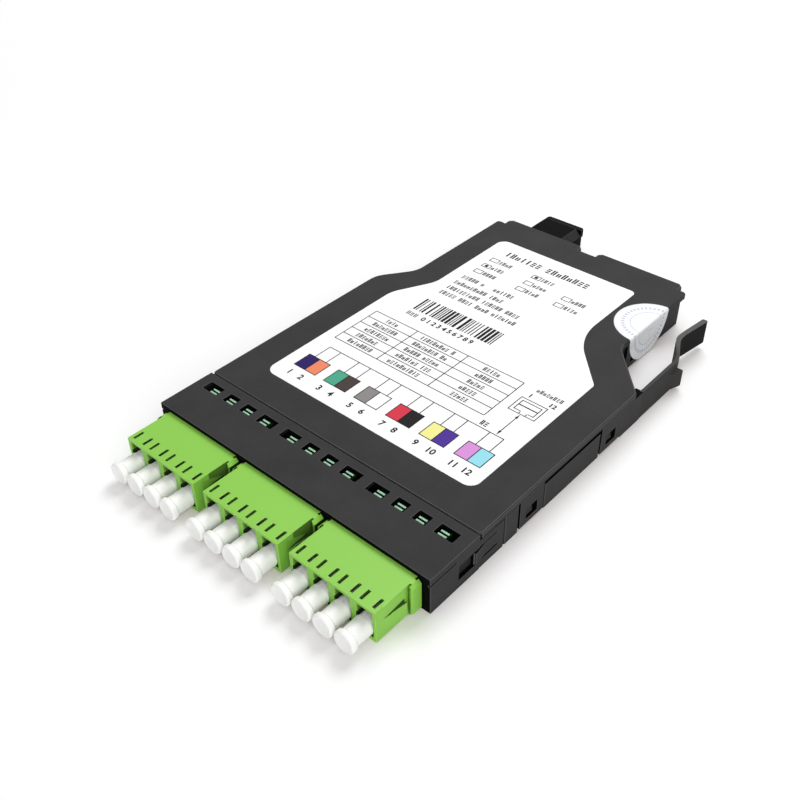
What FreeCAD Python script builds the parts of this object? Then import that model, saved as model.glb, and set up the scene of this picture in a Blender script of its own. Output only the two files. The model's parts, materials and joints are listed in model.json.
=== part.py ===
import FreeCAD, Part
import math
import os

from FreeCAD import Vector

# Fibre patch cassette, in millimetres.
# X runs across, Y from the front panel to the rear, Z up from the underside.

# Connector grid
port_pitch = 6.25
ports_per_adapter = 4
adapter_count = 3
adapter_spacing = 3.55

# Four-port adapter
adapter_height = 9.2
adapter_lift = 0.15
adapter_reach = 9.6
adapter_flange = 3.3
flange_margin = 1.35
flange_chamfer = 0.95
flange_round = 0.4
flange_groove_width = 0.5
flange_groove_depth = 0.9
port_width = 4.75
port_height = 4.8
port_axis_height = 3.4
latch_channel_width = 4.3
adapter_roof = 0.8
port_web = 2.7
slot_offset = 1.8
slot_width = 0.8
slot_length = 2.9
slot_setback = 0.95
clip_length = 6.4
clip_height = 3.9
clip_proud = 0.8
clip_setback = 0.9
clip_slit = 0.55
clip_gap = 0.15
sleeve_holder_wall = 0.4
sleeve_holder_reach = 2.6

# Ferrules and sleeves
ferrule_diameter = 1.25
sleeve_wall = 0.17
sleeve_length = 6.7
sleeve_slot = 0.3
bore_gap = 0.02

# Dust plugs
plug_insert = 5.5
plug_gap = 0.12
holder_gap = 0.24
plug_shaft_diameter = 5.0
plug_shaft_length = 4.6
plug_rim_diameter = 5.95
plug_rim_length = 1.7
plug_rim_edge = 0.35
plug_dimple_depth = 0.3
plug_dimple_margin = 0.7

# Connectors plugged in from behind
connector_width = 4.45
connector_length = 9.3
connector_collar_width = 5.3
connector_collar_length = 2.4
collar_gap = 0.15
latch_width = 2.3
latch_thickness = 0.75
latch_rib_thickness = 0.5
latch_rib_spacing = 1.1
latch_rib_sink = 0.55
connector_nose_gap = 0.6
boot_length = 7.0
boot_diameter = 3.2
boot_tip_diameter = 1.8

# Housing
strip_thickness = 1.15
cover_plate = 1.6
floor_thickness = 1.2
wall = 1.5
lip = 1.0
panel_thickness = 1.5
fit_gap = 0.1
parting_gap = 0.15
edge_chamfer = 0.35
window_offset = 1.3
window_depth = 3.1
window_to_edge = 2.5
window_half = 1.87
window_outer = 3.4

# Plan shape behind the front
left_shoulder_start = 79.5
left_shoulder_run = 10.2
left_shoulder_step = 7.5
left_shoulder_radius = 8.0
right_shoulder_start = 80.2
right_shoulder_run = 14.6
right_shoulder_step = 13.55
right_shoulder_radius = 5.0
neck_length = 38.5
rear_corner_radius = 1.2
tongue_depth = 3.1
tongue_root = 9.3
tongue_inset = 2.75
tongue_chamfer = 1.2
notch_width = 5.9
notch_depth = 2.6
notch_offset = 0.375
cover_front_chamfer = 0.8

# Spring finger in each cheek
rail_groove_depth = 0.5
rail_groove_height = 0.4
rail_groove_end = 0.6
rail_pad_drop = 1.9
finger_notch_start = 9.4
finger_notch_length = 5.1
finger_length = 8.5
finger_low = 2.9
finger_high = 6.4
finger_slit = 0.4
finger_thickness = 1.1
finger_barb = 0.4
cheek_tail = 2.3

# Cover snap tabs and the pads between them
tab_start = 31.4
tab_length = 9.1
tab_pitch = 33.5
tab_thickness = 0.9
tab_foot = 0.6
neck_tab_offset = 4.0
snap_window_length = 4.4
snap_window_low = 2.0
snap_window_height = 3.3
snap_barb = 0.5
barb_low_gap = 0.5
barb_high_gap = 0.9
barb_front_gap = 0.7
barb_rear_gap = 1.2
pad_gap = 0.3
pad_drop = 0.3
long_pad_drop = 1.3
pad_chamfer = 0.4
rim_width = 1.0
rim_depth = 1.2

# Release lever
lever_root_past_shoulder = 3.9
lever_thickness = 0.9
lever_straight = 18.1
lever_bend_run = 8.8
lever_bend_step = 5.1
lever_tab_length = 12.4
lever_tab_flare = 1.5
lever_tab_thickness = 1.7
lever_tab_low = 1.9
lever_web_taper = 0.3
lever_bend_radius = 6.0
lever_tab_round = 0.5
lever_lift = 0.3
lever_bracket = 2.4
lever_root_gap = 0.06
hook_proud = 1.5
hook_length = 4.8
hook_start = 13.5
hook_low = 1.0
hook_height = 5.0
hook_flat = 0.7

# Wide port at the rear
mpo_offset = 17.775
mpo_width = 13.7
mpo_height = 8.6
mpo_wall = 0.65
mpo_chamfer = 2.0
mpo_out = 10.6
mpo_in = 9.5
mpo_flange = 1.6
mpo_ear = 2.6
keyway_width = 3.0
keyway_length = 3.6
keyway_roof = 0.3
cap_insert = 8.0
cap_gap = 0.12
cap_head = 0.5
cap_lip_length = 1.3
cap_lip_height = 2.6
cap_chamfer = 0.6
mpo_grip_length = 10.4
mpo_grip_height = 7.4
mpo_grip_waist = 4.2
mpo_nose_clearance = 0.15
mpo_boot_length = 7.5
mpo_boot_diameter = 5.6
mt_ferrule_width = 6.4
mt_ferrule_height = 2.5
mt_ferrule_length = 8.0
mt_ferrule_proud = 1.6
guide_pin_diameter = 0.7
guide_pin_spacing = 4.6
guide_pin_length = 6.0
guide_pin_proud = 2.0

# Fan-out
lead_diameter = 0.9
lead_block_pitch = 1.6
lead_straight = 10.0
lead_bend_share = 0.45
trunk_diameter = 3.0
trunk_length = 5.0
fan_block_length = 8.0
fan_block_height = 5.4
fan_block_margin = 0.8
fan_rib = 1.2

# Paper
paper = 0.12
label_margin = 10.0
label_front = 9.9
label_corner = 3.0
label_neck_left = 9.0
label_neck_right = 11.1
label_rear = 12.7
label_step_left = -4.0
label_step_right = -4.2
label_left_run = 12.5
label_right_run = 15.5
label_curve = 20.0
label_left_curve = 9.0
seal_radius = 10.2
seal_overhang = 0.4
seal_from_shoulder = 14.7

# Places worked out from the driving dimensions
adapter_width = ports_per_adapter * port_pitch
adapter_pitch = adapter_width + adapter_spacing
adapter_top = adapter_lift + adapter_height
axis_z = adapter_lift + port_axis_height
row_half = (adapter_count * adapter_pitch - adapter_spacing) / 2
half_width = row_half + clip_proud + clip_gap + wall + lip
strip_under = adapter_top + fit_gap
housing_height = strip_under + strip_thickness
split_z = housing_height - cover_plate
strip_depth = adapter_reach + window_offset + window_depth + window_to_edge
window_start = adapter_reach + window_offset
housing_depth = right_shoulder_start + right_shoulder_run + neck_length
neck_left = -half_width + left_shoulder_step
neck_right = half_width - right_shoulder_step
neck_centre = (neck_left + neck_right) / 2
notch_x = neck_centre - notch_offset
body_rear = housing_depth - tongue_depth
base_side = half_width - lip
pad_side = half_width - fit_gap
cheek_end = finger_notch_start + finger_notch_length + finger_length + cheek_tail
adapter_centres = [(i - (adapter_count - 1) / 2) * adapter_pitch for i in range(adapter_count)]
port_offsets = [(i - (ports_per_adapter - 1) / 2) * port_pitch for i in range(ports_per_adapter)]
port_centres = [centre + offset for centre in adapter_centres for offset in port_offsets]
flange_middle = -adapter_flange / 2
adapter_front = -adapter_flange - adapter_reach
rear_clip_setback = panel_thickness + fit_gap
sleeve_bore = ferrule_diameter + 2 * bore_gap
sleeve_outside = sleeve_bore + 2 * sleeve_wall
holder_bore = sleeve_outside + 2 * bore_gap
holder_outside = holder_bore + 2 * sleeve_holder_wall
tab_starts = [tab_start, tab_start + tab_pitch]
neck_tab_start = right_shoulder_start + right_shoulder_run + neck_tab_offset

mpo_x = neck_centre - mpo_offset
mpo_top = split_z - fit_gap
mpo_low = mpo_top - mpo_height
mpo_z = (mpo_top + mpo_low) / 2
base_rear = housing_depth - lip
rear_wall_inner = base_rear - wall
mpo_flange_rear = rear_wall_inner - fit_gap
mpo_flange_front = mpo_flange_rear - mpo_flange
mpo_front = mpo_flange_front - mpo_in
mpo_rear = housing_depth + mpo_out
mpo_grip_rear = mpo_front - fit_gap
mpo_grip_front = mpo_grip_rear - mpo_grip_length
mpo_boot_front = mpo_grip_front - mpo_boot_length
fan_rear = mpo_boot_front - trunk_length
fan_front = fan_rear - fan_block_length

connector_rear = adapter_reach + connector_length
lead_start = connector_rear + boot_length

lever_root = right_shoulder_start + lever_root_past_shoulder
lever_x = pad_side - lever_thickness / 2


def box(x0, x1, y0, y1, z0, z1):
    """Solid block between two corners."""
    return Part.makeBox(x1 - x0, y1 - y0, z1 - z0, Vector(x0, y0, z0))


def rod(radius, length, start, direction):
    """Round bar from a point along a direction."""
    return Part.makeCylinder(radius, length, start, direction)


def rounded_outline(corners):
    """Closed wire at height zero through corners (x, y, radius), each rounded by a tangent arc."""
    arcs = []
    count = len(corners)
    for i in range(count):
        here = Vector(corners[i][0], corners[i][1], 0)
        back = Vector(corners[i - 1][0], corners[i - 1][1], 0) - here
        ahead = Vector(corners[(i + 1) % count][0], corners[(i + 1) % count][1], 0) - here
        back.normalize()
        ahead.normalize()
        radius = corners[i][2]
        if radius <= 0:
            arcs.append((here, None, here))
            continue
        half_angle = back.getAngle(ahead) / 2
        inward = back + ahead
        inward.normalize()
        reach = radius / math.tan(half_angle)
        middle = here + inward * (radius / math.sin(half_angle) - radius)
        arcs.append((here + back * reach, middle, here + ahead * reach))
    edges = []
    for i in range(count):
        start, middle, end = arcs[i]
        if middle is not None:
            edges.append(Part.Arc(start, middle, end).toShape())
        following = arcs[(i + 1) % count][0]
        if (following - end).Length > 1e-6:
            edges.append(Part.LineSegment(end, following).toShape())
    return Part.Wire(edges)


def plate(corners, z0, z1):
    """Upright solid over a rounded outline."""
    face = Part.Face(rounded_outline(corners))
    face.translate(Vector(0, 0, z0))
    return face.extrude(Vector(0, 0, z1 - z0))


def inset(corners, distance):
    """The same outline, counter-clockwise, with every side moved inwards by a distance."""
    moved = []
    count = len(corners)
    for i in range(count):
        x, y, radius = corners[i]
        before = Vector(x - corners[i - 1][0], y - corners[i - 1][1], 0)
        after = Vector(corners[(i + 1) % count][0] - x, corners[(i + 1) % count][1] - y, 0)
        before.normalize()
        after.normalize()
        n1 = Vector(-before.y, before.x, 0)
        n2 = Vector(-after.y, after.x, 0)
        step = (n1 + n2) * (distance / (1 + n1.dot(n2)))
        outer_corner = before.x * after.y - before.y * after.x > 0
        new_radius = 0
        if radius > 0:
            new_radius = max(radius - distance, 0) if outer_corner else radius + distance
        moved.append((x + step.x, y + step.y, new_radius))
    return moved


def profile_x(points, x0, x1):
    """Solid carried across X from a profile of (y, z) points."""
    corners = [Vector(x0, y, z) for y, z in points]
    face = Part.Face(Part.makePolygon(corners + corners[:1]))
    return face.extrude(Vector(x1 - x0, 0, 0))


def profile_y(points, y0, y1):
    """Solid carried along Y from a profile of (x, z) points."""
    corners = [Vector(x, y0, z) for x, z in points]
    face = Part.Face(Part.makePolygon(corners + corners[:1]))
    return face.extrude(Vector(0, y1 - y0, 0))


def turned(points, x, z):
    """Solid turned about the Y axis line at (x, z) from a profile of (radius, y) points."""
    corners = [Vector(x + radius, y, z) for radius, y in points]
    face = Part.Face(Part.makePolygon(corners + corners[:1]))
    return face.revolve(Vector(x, 0, z), Vector(0, 1, 0), 360)


def fused(shapes):
    """One clean solid from shapes that meet."""
    return shapes[0].multiFuse(shapes[1:]).removeSplitter()


def both_sides(shape):
    """A shape and its mirror image across the middle plane."""
    return [shape, shape.mirror(Vector(0, 0, 0), Vector(1, 0, 0))]


def body_corners(front):
    """Plan of the housing without the rear tongue, from a front line."""
    return [
        (-half_width, front, 0),
        (half_width, front, 0),
        (half_width, right_shoulder_start, right_shoulder_radius / 2),
        (neck_right, right_shoulder_start + right_shoulder_run, right_shoulder_radius),
        (neck_right, body_rear, rear_corner_radius),
        (neck_left, body_rear, rear_corner_radius),
        (neck_left, left_shoulder_start + left_shoulder_run, left_shoulder_radius),
        (-half_width, left_shoulder_start, left_shoulder_radius),
    ]


def tongue_corners():
    """Plan of the rear tongue, which starts well inside the body."""
    left = neck_left + tongue_inset
    right = neck_right - tongue_inset
    start = body_rear - tongue_root
    return [
        (left, start, 0),
        (right, start, 0),
        (right, housing_depth - tongue_chamfer, 0),
        (right - tongue_chamfer, housing_depth, 0),
        (left + tongue_chamfer, housing_depth, 0),
        (left, housing_depth - tongue_chamfer, 0),
    ]


def notch_corners(growth):
    """Plan of the notch in the middle of the rear edge, open to the rear."""
    half = notch_width / 2 + growth
    floor = housing_depth - notch_depth - growth
    mouth = housing_depth - growth
    past = housing_depth + tongue_depth
    flare = tongue_chamfer
    return [
        (notch_x - half, floor, 0),
        (notch_x + half, floor, 0),
        (notch_x + half, mouth - flare, 0),
        (notch_x + half + flare, mouth, 0),
        (notch_x + half + flare, past, 0),
        (notch_x - half - flare, past, 0),
        (notch_x - half - flare, mouth, 0),
        (notch_x - half, mouth - flare, 0),
    ]


def housing_blank(front, margin, z0, z1):
    """Solid of the housing's plan, moved inwards by a margin."""
    body = plate(inset(body_corners(front - margin), margin), z0, z1)
    tongue = plate(inset(tongue_corners(), margin), z0, z1)
    notch = plate(notch_corners(margin), z0 - 1, z1 + 1)
    return body.fuse(tongue).cut(notch).removeSplitter()


def snap_barb_profile(x):
    """Wedge on a wall that faces +X: a ramp for the tab above and a ledge below."""
    ledge = snap_window_low + barb_low_gap
    top = snap_window_low + snap_window_height - barb_high_gap
    return [(x, ledge), (x + snap_barb, ledge), (x + snap_barb, ledge + snap_barb / 2), (x, top)]


def snap_barb_on(x, tab_begin):
    """Barb behind the window of the tab that begins at a place along the wall at x."""
    window_begin = tab_begin + (tab_length - snap_window_length) / 2
    return profile_y(snap_barb_profile(x), window_begin + barb_front_gap,
                     window_begin + snap_window_length - barb_rear_gap)


def side_pad(start, end, drop):
    """Raised pad on the right wall between two tabs, with its upright edges bevelled."""
    corners = [
        (base_side - wall / 2, start, 0),
        (pad_side - pad_chamfer, start, 0),
        (pad_side, start + pad_chamfer, 0),
        (pad_side, end - pad_chamfer, 0),
        (pad_side - pad_chamfer, end, 0),
        (base_side - wall / 2, end, 0),
    ]
    return plate(corners, 0, split_z - drop)


def cheek():
    """Right cheek of the front sleeve, with its rail groove and spring finger."""
    inner = base_side - wall
    front = box(inner, half_width, 0, strip_depth, 0, housing_height)
    rear = box(inner, pad_side, strip_depth, cheek_end, 0, split_z - pad_drop)
    finger_start = finger_notch_start + finger_notch_length
    finger_end = finger_start + finger_length
    groove_z = housing_height - rail_pad_drop
    groove = box(half_width - rail_groove_depth, half_width + 1, -1,
                 finger_notch_start - rail_groove_end, groove_z - rail_groove_height, groove_z)
    notch = box(inner - 1, half_width + 1, finger_notch_start, finger_start,
                finger_low - finger_slit, finger_high + finger_slit)
    behind = box(inner - 1, half_width - finger_thickness, finger_start - 1, finger_end,
                 finger_low - finger_slit, finger_high + finger_slit)
    low_slit = box(inner - 1, half_width + 1, finger_start - 1, finger_end,
                   finger_low - finger_slit, finger_low)
    high_slit = box(inner - 1, half_width + 1, finger_start - 1, finger_end,
                    finger_high, finger_high + finger_slit)
    barb = plate([
        (half_width - finger_thickness, finger_start, 0),
        (half_width - finger_thickness / 2, finger_start, 0),
        (half_width + finger_barb, finger_start + finger_barb, 0),
        (pad_side, finger_start + finger_length / 2, 0),
        (half_width - finger_thickness, finger_start + finger_length / 2, 0),
    ], finger_low, finger_high)
    shape = fused([front, rear])
    shape = shape.cut(Part.makeCompound([groove, notch, behind, low_slit, high_slit]))
    return fused([shape, barb])


def base_tray():
    """Tray with the closed front sleeve that holds the adapters."""
    cavity_margin = lip + wall
    outer = housing_blank(strip_depth, lip, 0, split_z)
    front = box(-base_side, base_side, 0, strip_depth + wall, 0, split_z)
    strip_half = base_side - wall / 2
    strip = box(-strip_half, strip_half, 0, strip_depth, split_z - wall, housing_height)
    shape = fused([outer, front, strip] + both_sides(cheek()))

    cavity = plate(inset(body_corners(panel_thickness - cavity_margin), cavity_margin),
                   floor_thickness, split_z + 1)
    pocket = box(neck_left + tongue_inset + cavity_margin, neck_right - tongue_inset - cavity_margin,
                 body_rear - tongue_root, rear_wall_inner, floor_thickness, split_z + 1)
    under_strip = box(-half_width, half_width, 0, strip_depth, strip_under, housing_height + 1)
    notch_half = notch_width / 2 + cavity_margin
    notch_wall = box(notch_x - notch_half, notch_x + notch_half,
                     housing_depth - notch_depth - cavity_margin, housing_depth, 0, split_z + 1)
    shape = shape.cut(cavity.fuse(pocket).cut(under_strip).cut(notch_wall))

    for centre in adapter_centres:
        panel_half = adapter_width / 2 + fit_gap
        floor_half = adapter_width / 2 + clip_proud + clip_gap
        shape = shape.cut(box(centre - panel_half, centre + panel_half,
                              -1, panel_thickness + 1, -1, strip_under))
        shape = shape.cut(box(centre - floor_half, centre + floor_half,
                              panel_thickness, adapter_reach + pad_gap, -1, floor_thickness + 1))
        for number, offset in enumerate(port_offsets):
            left = window_outer if number == 0 else window_half
            right = window_outer if number == ports_per_adapter - 1 else window_half
            shape = shape.cut(box(centre + offset - left, centre + offset + right,
                                  window_start, window_start + window_depth,
                                  strip_under - 1, housing_height + 1))

    pads = [side_pad(cheek_end + pad_gap, tab_starts[0] - pad_gap, pad_drop)]
    pads.append(side_pad(tab_starts[0] + tab_length + pad_gap, tab_starts[1] - pad_gap,
                         long_pad_drop))
    left_last = side_pad(tab_starts[1] + tab_length + pad_gap, left_shoulder_start - pad_gap,
                         pad_drop)
    extras = []
    for pad in pads:
        extras += both_sides(pad)
    extras.append(both_sides(left_last)[1])
    for start in tab_starts:
        extras += both_sides(snap_barb_on(base_side, start))
    extras.append(snap_barb_on(neck_right - lip, neck_tab_start))
    extras.append(both_sides(snap_barb_on(-neck_left - lip, neck_tab_start))[1])

    bracket = box(pad_side - lever_bracket, pad_side, tab_starts[1] + tab_length + pad_gap,
                  lever_root, 0, split_z - fit_gap)
    extras.append(bracket)
    shape = fused([shape] + extras)
    groove = rod(lever_thickness / 2 + lever_root_gap, housing_height + 2,
                 Vector(lever_x, lever_root, -1), Vector(0, 0, 1))
    shape = shape.cut(groove)

    half = mpo_width / 2 + fit_gap
    flange_half = mpo_width / 2 + mpo_ear + fit_gap
    shape = shape.cut(box(mpo_x - half, mpo_x + half, mpo_front - pad_gap, housing_depth + 1,
                          -1, split_z + 1))
    rib_front = mpo_flange_front - fit_gap - wall
    rib_top = split_z - rim_depth - fit_gap
    ribs = []
    for side in (-1, 1):
        near = mpo_x + side * half
        far = mpo_x + side * flange_half
        ribs.append(box(min(near, far), max(near, far), rib_front, rib_front + wall, 0, rib_top))
    for side in (-1, 1):
        face = side * (fan_block_width() / 2 + fit_gap)
        near = mpo_x + face
        far = near + side * fan_rib
        ribs.append(box(min(near, far), max(near, far), fan_front, fan_rear, 0,
                        floor_thickness + fan_block_height))
    return fused([shape] + ribs)


def snap_tab(start, outside):
    """Tab that hangs from the cover beside a right-hand wall, with its window."""
    tab = box(outside - tab_thickness, outside, start, start + tab_length, tab_foot,
              split_z + cover_plate / 2)
    middle = start + tab_length / 2
    window = box(outside - tab_thickness - 1, outside + 1, middle - snap_window_length / 2,
                 middle + snap_window_length / 2, snap_window_low,
                 snap_window_low + snap_window_height)
    return tab.cut(window)


def top_cover():
    """Cover plate with bevelled top edges, a locating rim below and snap tabs at the sides."""
    front = strip_depth + parting_gap
    plan = housing_blank(front, 0, split_z, housing_height)
    corner_cut = plate([(half_width - cover_front_chamfer, front, 0),
                        (half_width + 1, front, 0),
                        (half_width + 1, front + cover_front_chamfer + 1, 0)],
                       split_z - 1, housing_height + 1)
    plan = plan.cut(Part.makeCompound(both_sides(corner_cut)))
    top_edges = [edge for edge in plan.Edges
                 if all(abs(vertex.Z - housing_height) < 1e-6 for vertex in edge.Vertexes)]
    shape = plan.makeChamfer(edge_chamfer, top_edges)

    rim_margin = lip + wall + parting_gap
    rim_outside = plate(inset(body_corners(front), rim_margin), split_z - rim_depth, split_z)
    rim_inside = plate(inset(body_corners(front), rim_margin + rim_width),
                       split_z - rim_depth - 1, split_z + 1)
    rear_gap = box(mpo_x - mpo_width, mpo_x + mpo_width, mpo_front - wall, housing_depth,
                   split_z - rim_depth - 1, split_z + 1)
    notch_half = notch_width / 2 + lip + wall + parting_gap
    notch_gap = box(notch_x - notch_half, notch_x + notch_half,
                    body_rear - tongue_root, housing_depth, split_z - rim_depth - 1, split_z + 1)
    rim = rim_outside.cut(rim_inside).cut(rear_gap).cut(notch_gap)

    tabs = []
    for start in tab_starts:
        tabs += both_sides(snap_tab(start, half_width))
    tabs.append(snap_tab(neck_tab_start, neck_right))
    tabs.append(both_sides(snap_tab(neck_tab_start, -neck_left))[1])
    tabs = [tab.cut(box(-half_width - 1, half_width + 1, 0, housing_depth, split_z + cover_plate / 4,
                        housing_height)) for tab in tabs]
    return fused([shape, rim] + tabs)


def release_lever():
    """Lever with a hook on its outer side and a thumb tab on the end of an S bend."""
    straight_end = lever_root + lever_straight
    bend_end = straight_end + lever_bend_run
    tip = bend_end + lever_tab_length
    inner = pad_side - lever_thickness
    tab_inner = inner - lever_bend_step
    arm = plate([
        (pad_side, lever_root, 0),
        (pad_side, straight_end, lever_bend_radius),
        (tab_inner + lever_tab_thickness - lever_web_taper, bend_end, lever_bend_radius),
        (tab_inner + lever_tab_flare + lever_tab_thickness, tip, lever_tab_round),
        (tab_inner + lever_tab_flare, tip, lever_tab_round),
        (tab_inner, bend_end, lever_bend_radius),
        (inner, straight_end, lever_bend_radius),
        (inner, lever_root, 0),
    ], lever_lift, split_z - fit_gap)
    root = rod(lever_thickness / 2, split_z - fit_gap - lever_lift,
               Vector(lever_x, lever_root, lever_lift), Vector(0, 0, 1))
    start = lever_root + hook_start
    end = start + hook_length
    slope = lever_bend_step / lever_bend_run
    hook_root = inner - slope * max(end - straight_end, 0)
    hook = plate([
        (inner + lever_thickness / 2, start, 0),
        (pad_side, start, 0),
        (pad_side + hook_proud, end - hook_flat, 0),
        (pad_side + hook_proud, end, 0),
        (hook_root + lever_thickness / 2, end, 0),
    ], hook_low, hook_low + hook_height)
    below_tab = box(tab_inner - 1, pad_side + 1, bend_end, tip + 1, 0, lever_tab_low)
    return fused([arm, root, hook]).cut(below_tab)


def adapter_half(centre, setback):
    """Front half of a four-port adapter from the middle of its flange, with its ports cut.

    Its side clips end at a setback from the flange.
    """
    half = adapter_width / 2
    flange_half = half + flange_margin
    top = adapter_top
    low = adapter_lift
    body = box(centre - half, centre + half, adapter_front, flange_middle, low, top)
    flange = profile_y([
        (centre - flange_half, low + flange_chamfer),
        (centre - flange_half + flange_chamfer, low),
        (centre + flange_half - flange_chamfer, low),
        (centre + flange_half, low + flange_chamfer),
        (centre + flange_half, top - flange_chamfer),
        (centre + flange_half - flange_chamfer, top),
        (centre - flange_half + flange_chamfer, top),
        (centre - flange_half, top - flange_chamfer),
    ], -adapter_flange, flange_middle)
    rim_edges = [edge for edge in flange.Edges
                 if all(abs(vertex.Y + adapter_flange) < 1e-6 for vertex in edge.Vertexes)]
    flange = flange.makeFillet(flange_round, rim_edges)
    clip_low = axis_z - clip_height / 2
    clip_high = clip_low + clip_height
    clip_end = -adapter_flange - setback
    clip_start = clip_end - clip_length
    clips = []
    side_cuts = []
    for side in (-1, 1):
        face = centre + side * half
        clip = plate([
            (face - side * clip_proud, clip_start, 0),
            (face, clip_start, 0),
            (face + side * clip_proud, clip_end, 0),
            (face - side * clip_proud, clip_end, 0),
        ], clip_low, clip_high)
        clips.append(clip)
        slit = profile_x([(clip_start, clip_high), (clip_end, clip_high),
                          (clip_end, clip_high + clip_slit)],
                         face - side * clip_proud, face + side * clip_proud)
        groove_far = face + side * flange_groove_width
        groove = box(min(face, groove_far), max(face, groove_far), -adapter_flange - 1,
                     -adapter_flange + flange_groove_depth, low - 1, top + 1)
        side_cuts += [slit, groove]
    shape = fused([body, flange] + clips).cut(Part.makeCompound(side_cuts))
    port_end = flange_middle - port_web / 2
    holders = []
    for offset in port_offsets:
        x = centre + offset
        port = box(x - port_width / 2, x + port_width / 2, adapter_front - 1, port_end,
                   axis_z - port_height / 2, axis_z + port_height / 2)
        channel = box(x - latch_channel_width / 2, x + latch_channel_width / 2, adapter_front - 1,
                      port_end, axis_z, top - adapter_roof)
        shape = shape.cut(port.fuse(channel))
        for side in (-1, 1):
            slot_x = x + side * slot_offset
            shape = shape.cut(box(slot_x - slot_width / 2, slot_x + slot_width / 2,
                                  adapter_front + slot_setback,
                                  adapter_front + slot_setback + slot_length,
                                  top - adapter_roof - 1, top + 1))
        holders.append(rod(holder_outside / 2, sleeve_holder_reach + port_web / 2,
                           Vector(x, port_end - sleeve_holder_reach, axis_z), Vector(0, 1, 0)))
    shape = fused([shape] + holders)
    for offset in port_offsets:
        shape = shape.cut(rod(holder_bore / 2, adapter_reach,
                              Vector(centre + offset, port_end - sleeve_holder_reach - 1, axis_z),
                              Vector(0, 1, 0)))
    return shape


def lc_adapter(centre):
    """Whole adapter: the front half and its mirror image behind the flange."""
    front = adapter_half(centre, clip_setback)
    rear = adapter_half(centre, rear_clip_setback)
    rear = rear.mirror(Vector(0, flange_middle, 0), Vector(0, 1, 0))
    return fused([front, rear])


def alignment_sleeve(x):
    """Split ceramic sleeve in the middle of a port."""
    start = flange_middle - sleeve_length / 2
    tube = rod(sleeve_outside / 2, sleeve_length, Vector(x, start, axis_z), Vector(0, 1, 0))
    bore = rod(sleeve_bore / 2, sleeve_length + 2, Vector(x, start - 1, axis_z), Vector(0, 1, 0))
    slit = box(x - sleeve_slot / 2, x + sleeve_slot / 2, start - 1, start + sleeve_length + 1,
               axis_z, axis_z + sleeve_outside)
    return tube.cut(bore).cut(slit)


def dust_plug(x):
    """Turned plug: a hollow nose in the port, a shaft and a rim to pull it by."""
    face = adapter_front - fit_gap / 2
    nose = port_width / 2 - plug_gap
    bore = holder_outside / 2 + holder_gap
    rim_start = face - plug_shaft_length
    end = rim_start - plug_rim_length
    rim = plug_rim_diameter / 2
    shaft = plug_shaft_diameter / 2
    return turned([
        (0, face),
        (bore, face),
        (bore, face + plug_insert),
        (nose - plug_rim_edge / 2, face + plug_insert),
        (nose, face + plug_insert - plug_rim_edge),
        (nose, face),
        (shaft, face),
        (shaft, rim_start),
        (rim, rim_start - plug_rim_edge),
        (rim, end + plug_rim_edge),
        (rim - plug_rim_edge, end),
        (rim - plug_dimple_margin, end),
        (rim - plug_dimple_margin - plug_dimple_depth, end + plug_dimple_depth),
        (0, end + plug_dimple_depth),
    ], x, axis_z)


def lc_connector(x):
    """Connector in the rear of a port, with its ribbed latch below the window."""
    half = connector_width / 2
    nose = connector_nose_gap
    collar_start = adapter_reach + collar_gap
    collar_half = connector_collar_width / 2
    collar_low = max(axis_z - collar_half, floor_thickness + fit_gap)
    body = box(x - half, x + half, nose, connector_rear, axis_z - half, axis_z + half)
    collar = box(x - collar_half, x + collar_half, collar_start,
                 collar_start + connector_collar_length, collar_low, axis_z + collar_half)
    latch_top = strip_under - fit_gap
    channel_top = adapter_top - adapter_roof - fit_gap
    rise = adapter_reach - fit_gap
    tail = window_start + window_depth - fit_gap
    latch = profile_x([
        (nose, axis_z + half - latch_thickness),
        (nose + latch_thickness, axis_z + half - latch_thickness),
        (rise, channel_top - latch_thickness),
        (rise + latch_thickness, latch_top - latch_thickness),
        (tail, latch_top - latch_thickness),
        (tail, latch_top),
        (rise + latch_thickness, latch_top),
        (rise, channel_top),
        (nose, axis_z + half),
    ], x - latch_width / 2, x + latch_width / 2)
    ribs = []
    for number in range(2):
        start = window_start + latch_rib_thickness + number * latch_rib_spacing
        ribs.append(box(x - latch_width / 2, x + latch_width / 2, start,
                        start + latch_rib_thickness, latch_top - latch_thickness,
                        housing_height - latch_rib_sink))
    shape = fused([body, collar, latch] + ribs)
    clear = rod(holder_outside / 2 + holder_gap, sleeve_holder_reach * 2 + nose,
                Vector(x, -1, axis_z), Vector(0, 1, 0))
    seat = rod(sleeve_bore / 2, connector_length, Vector(x, 0, axis_z), Vector(0, 1, 0))
    return shape.cut(clear).cut(seat)


def lc_ferrule(x):
    """Ceramic ferrule from the middle of the sleeve into the connector."""
    return rod(ferrule_diameter / 2, connector_length - flange_middle,
               Vector(x, flange_middle, axis_z), Vector(0, 1, 0))


def lc_boot(x):
    """Tapered tail boot behind a connector."""
    return Part.makeCone(boot_diameter / 2, boot_tip_diameter / 2, boot_length,
                         Vector(x, connector_rear, axis_z), Vector(0, 1, 0))


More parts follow.
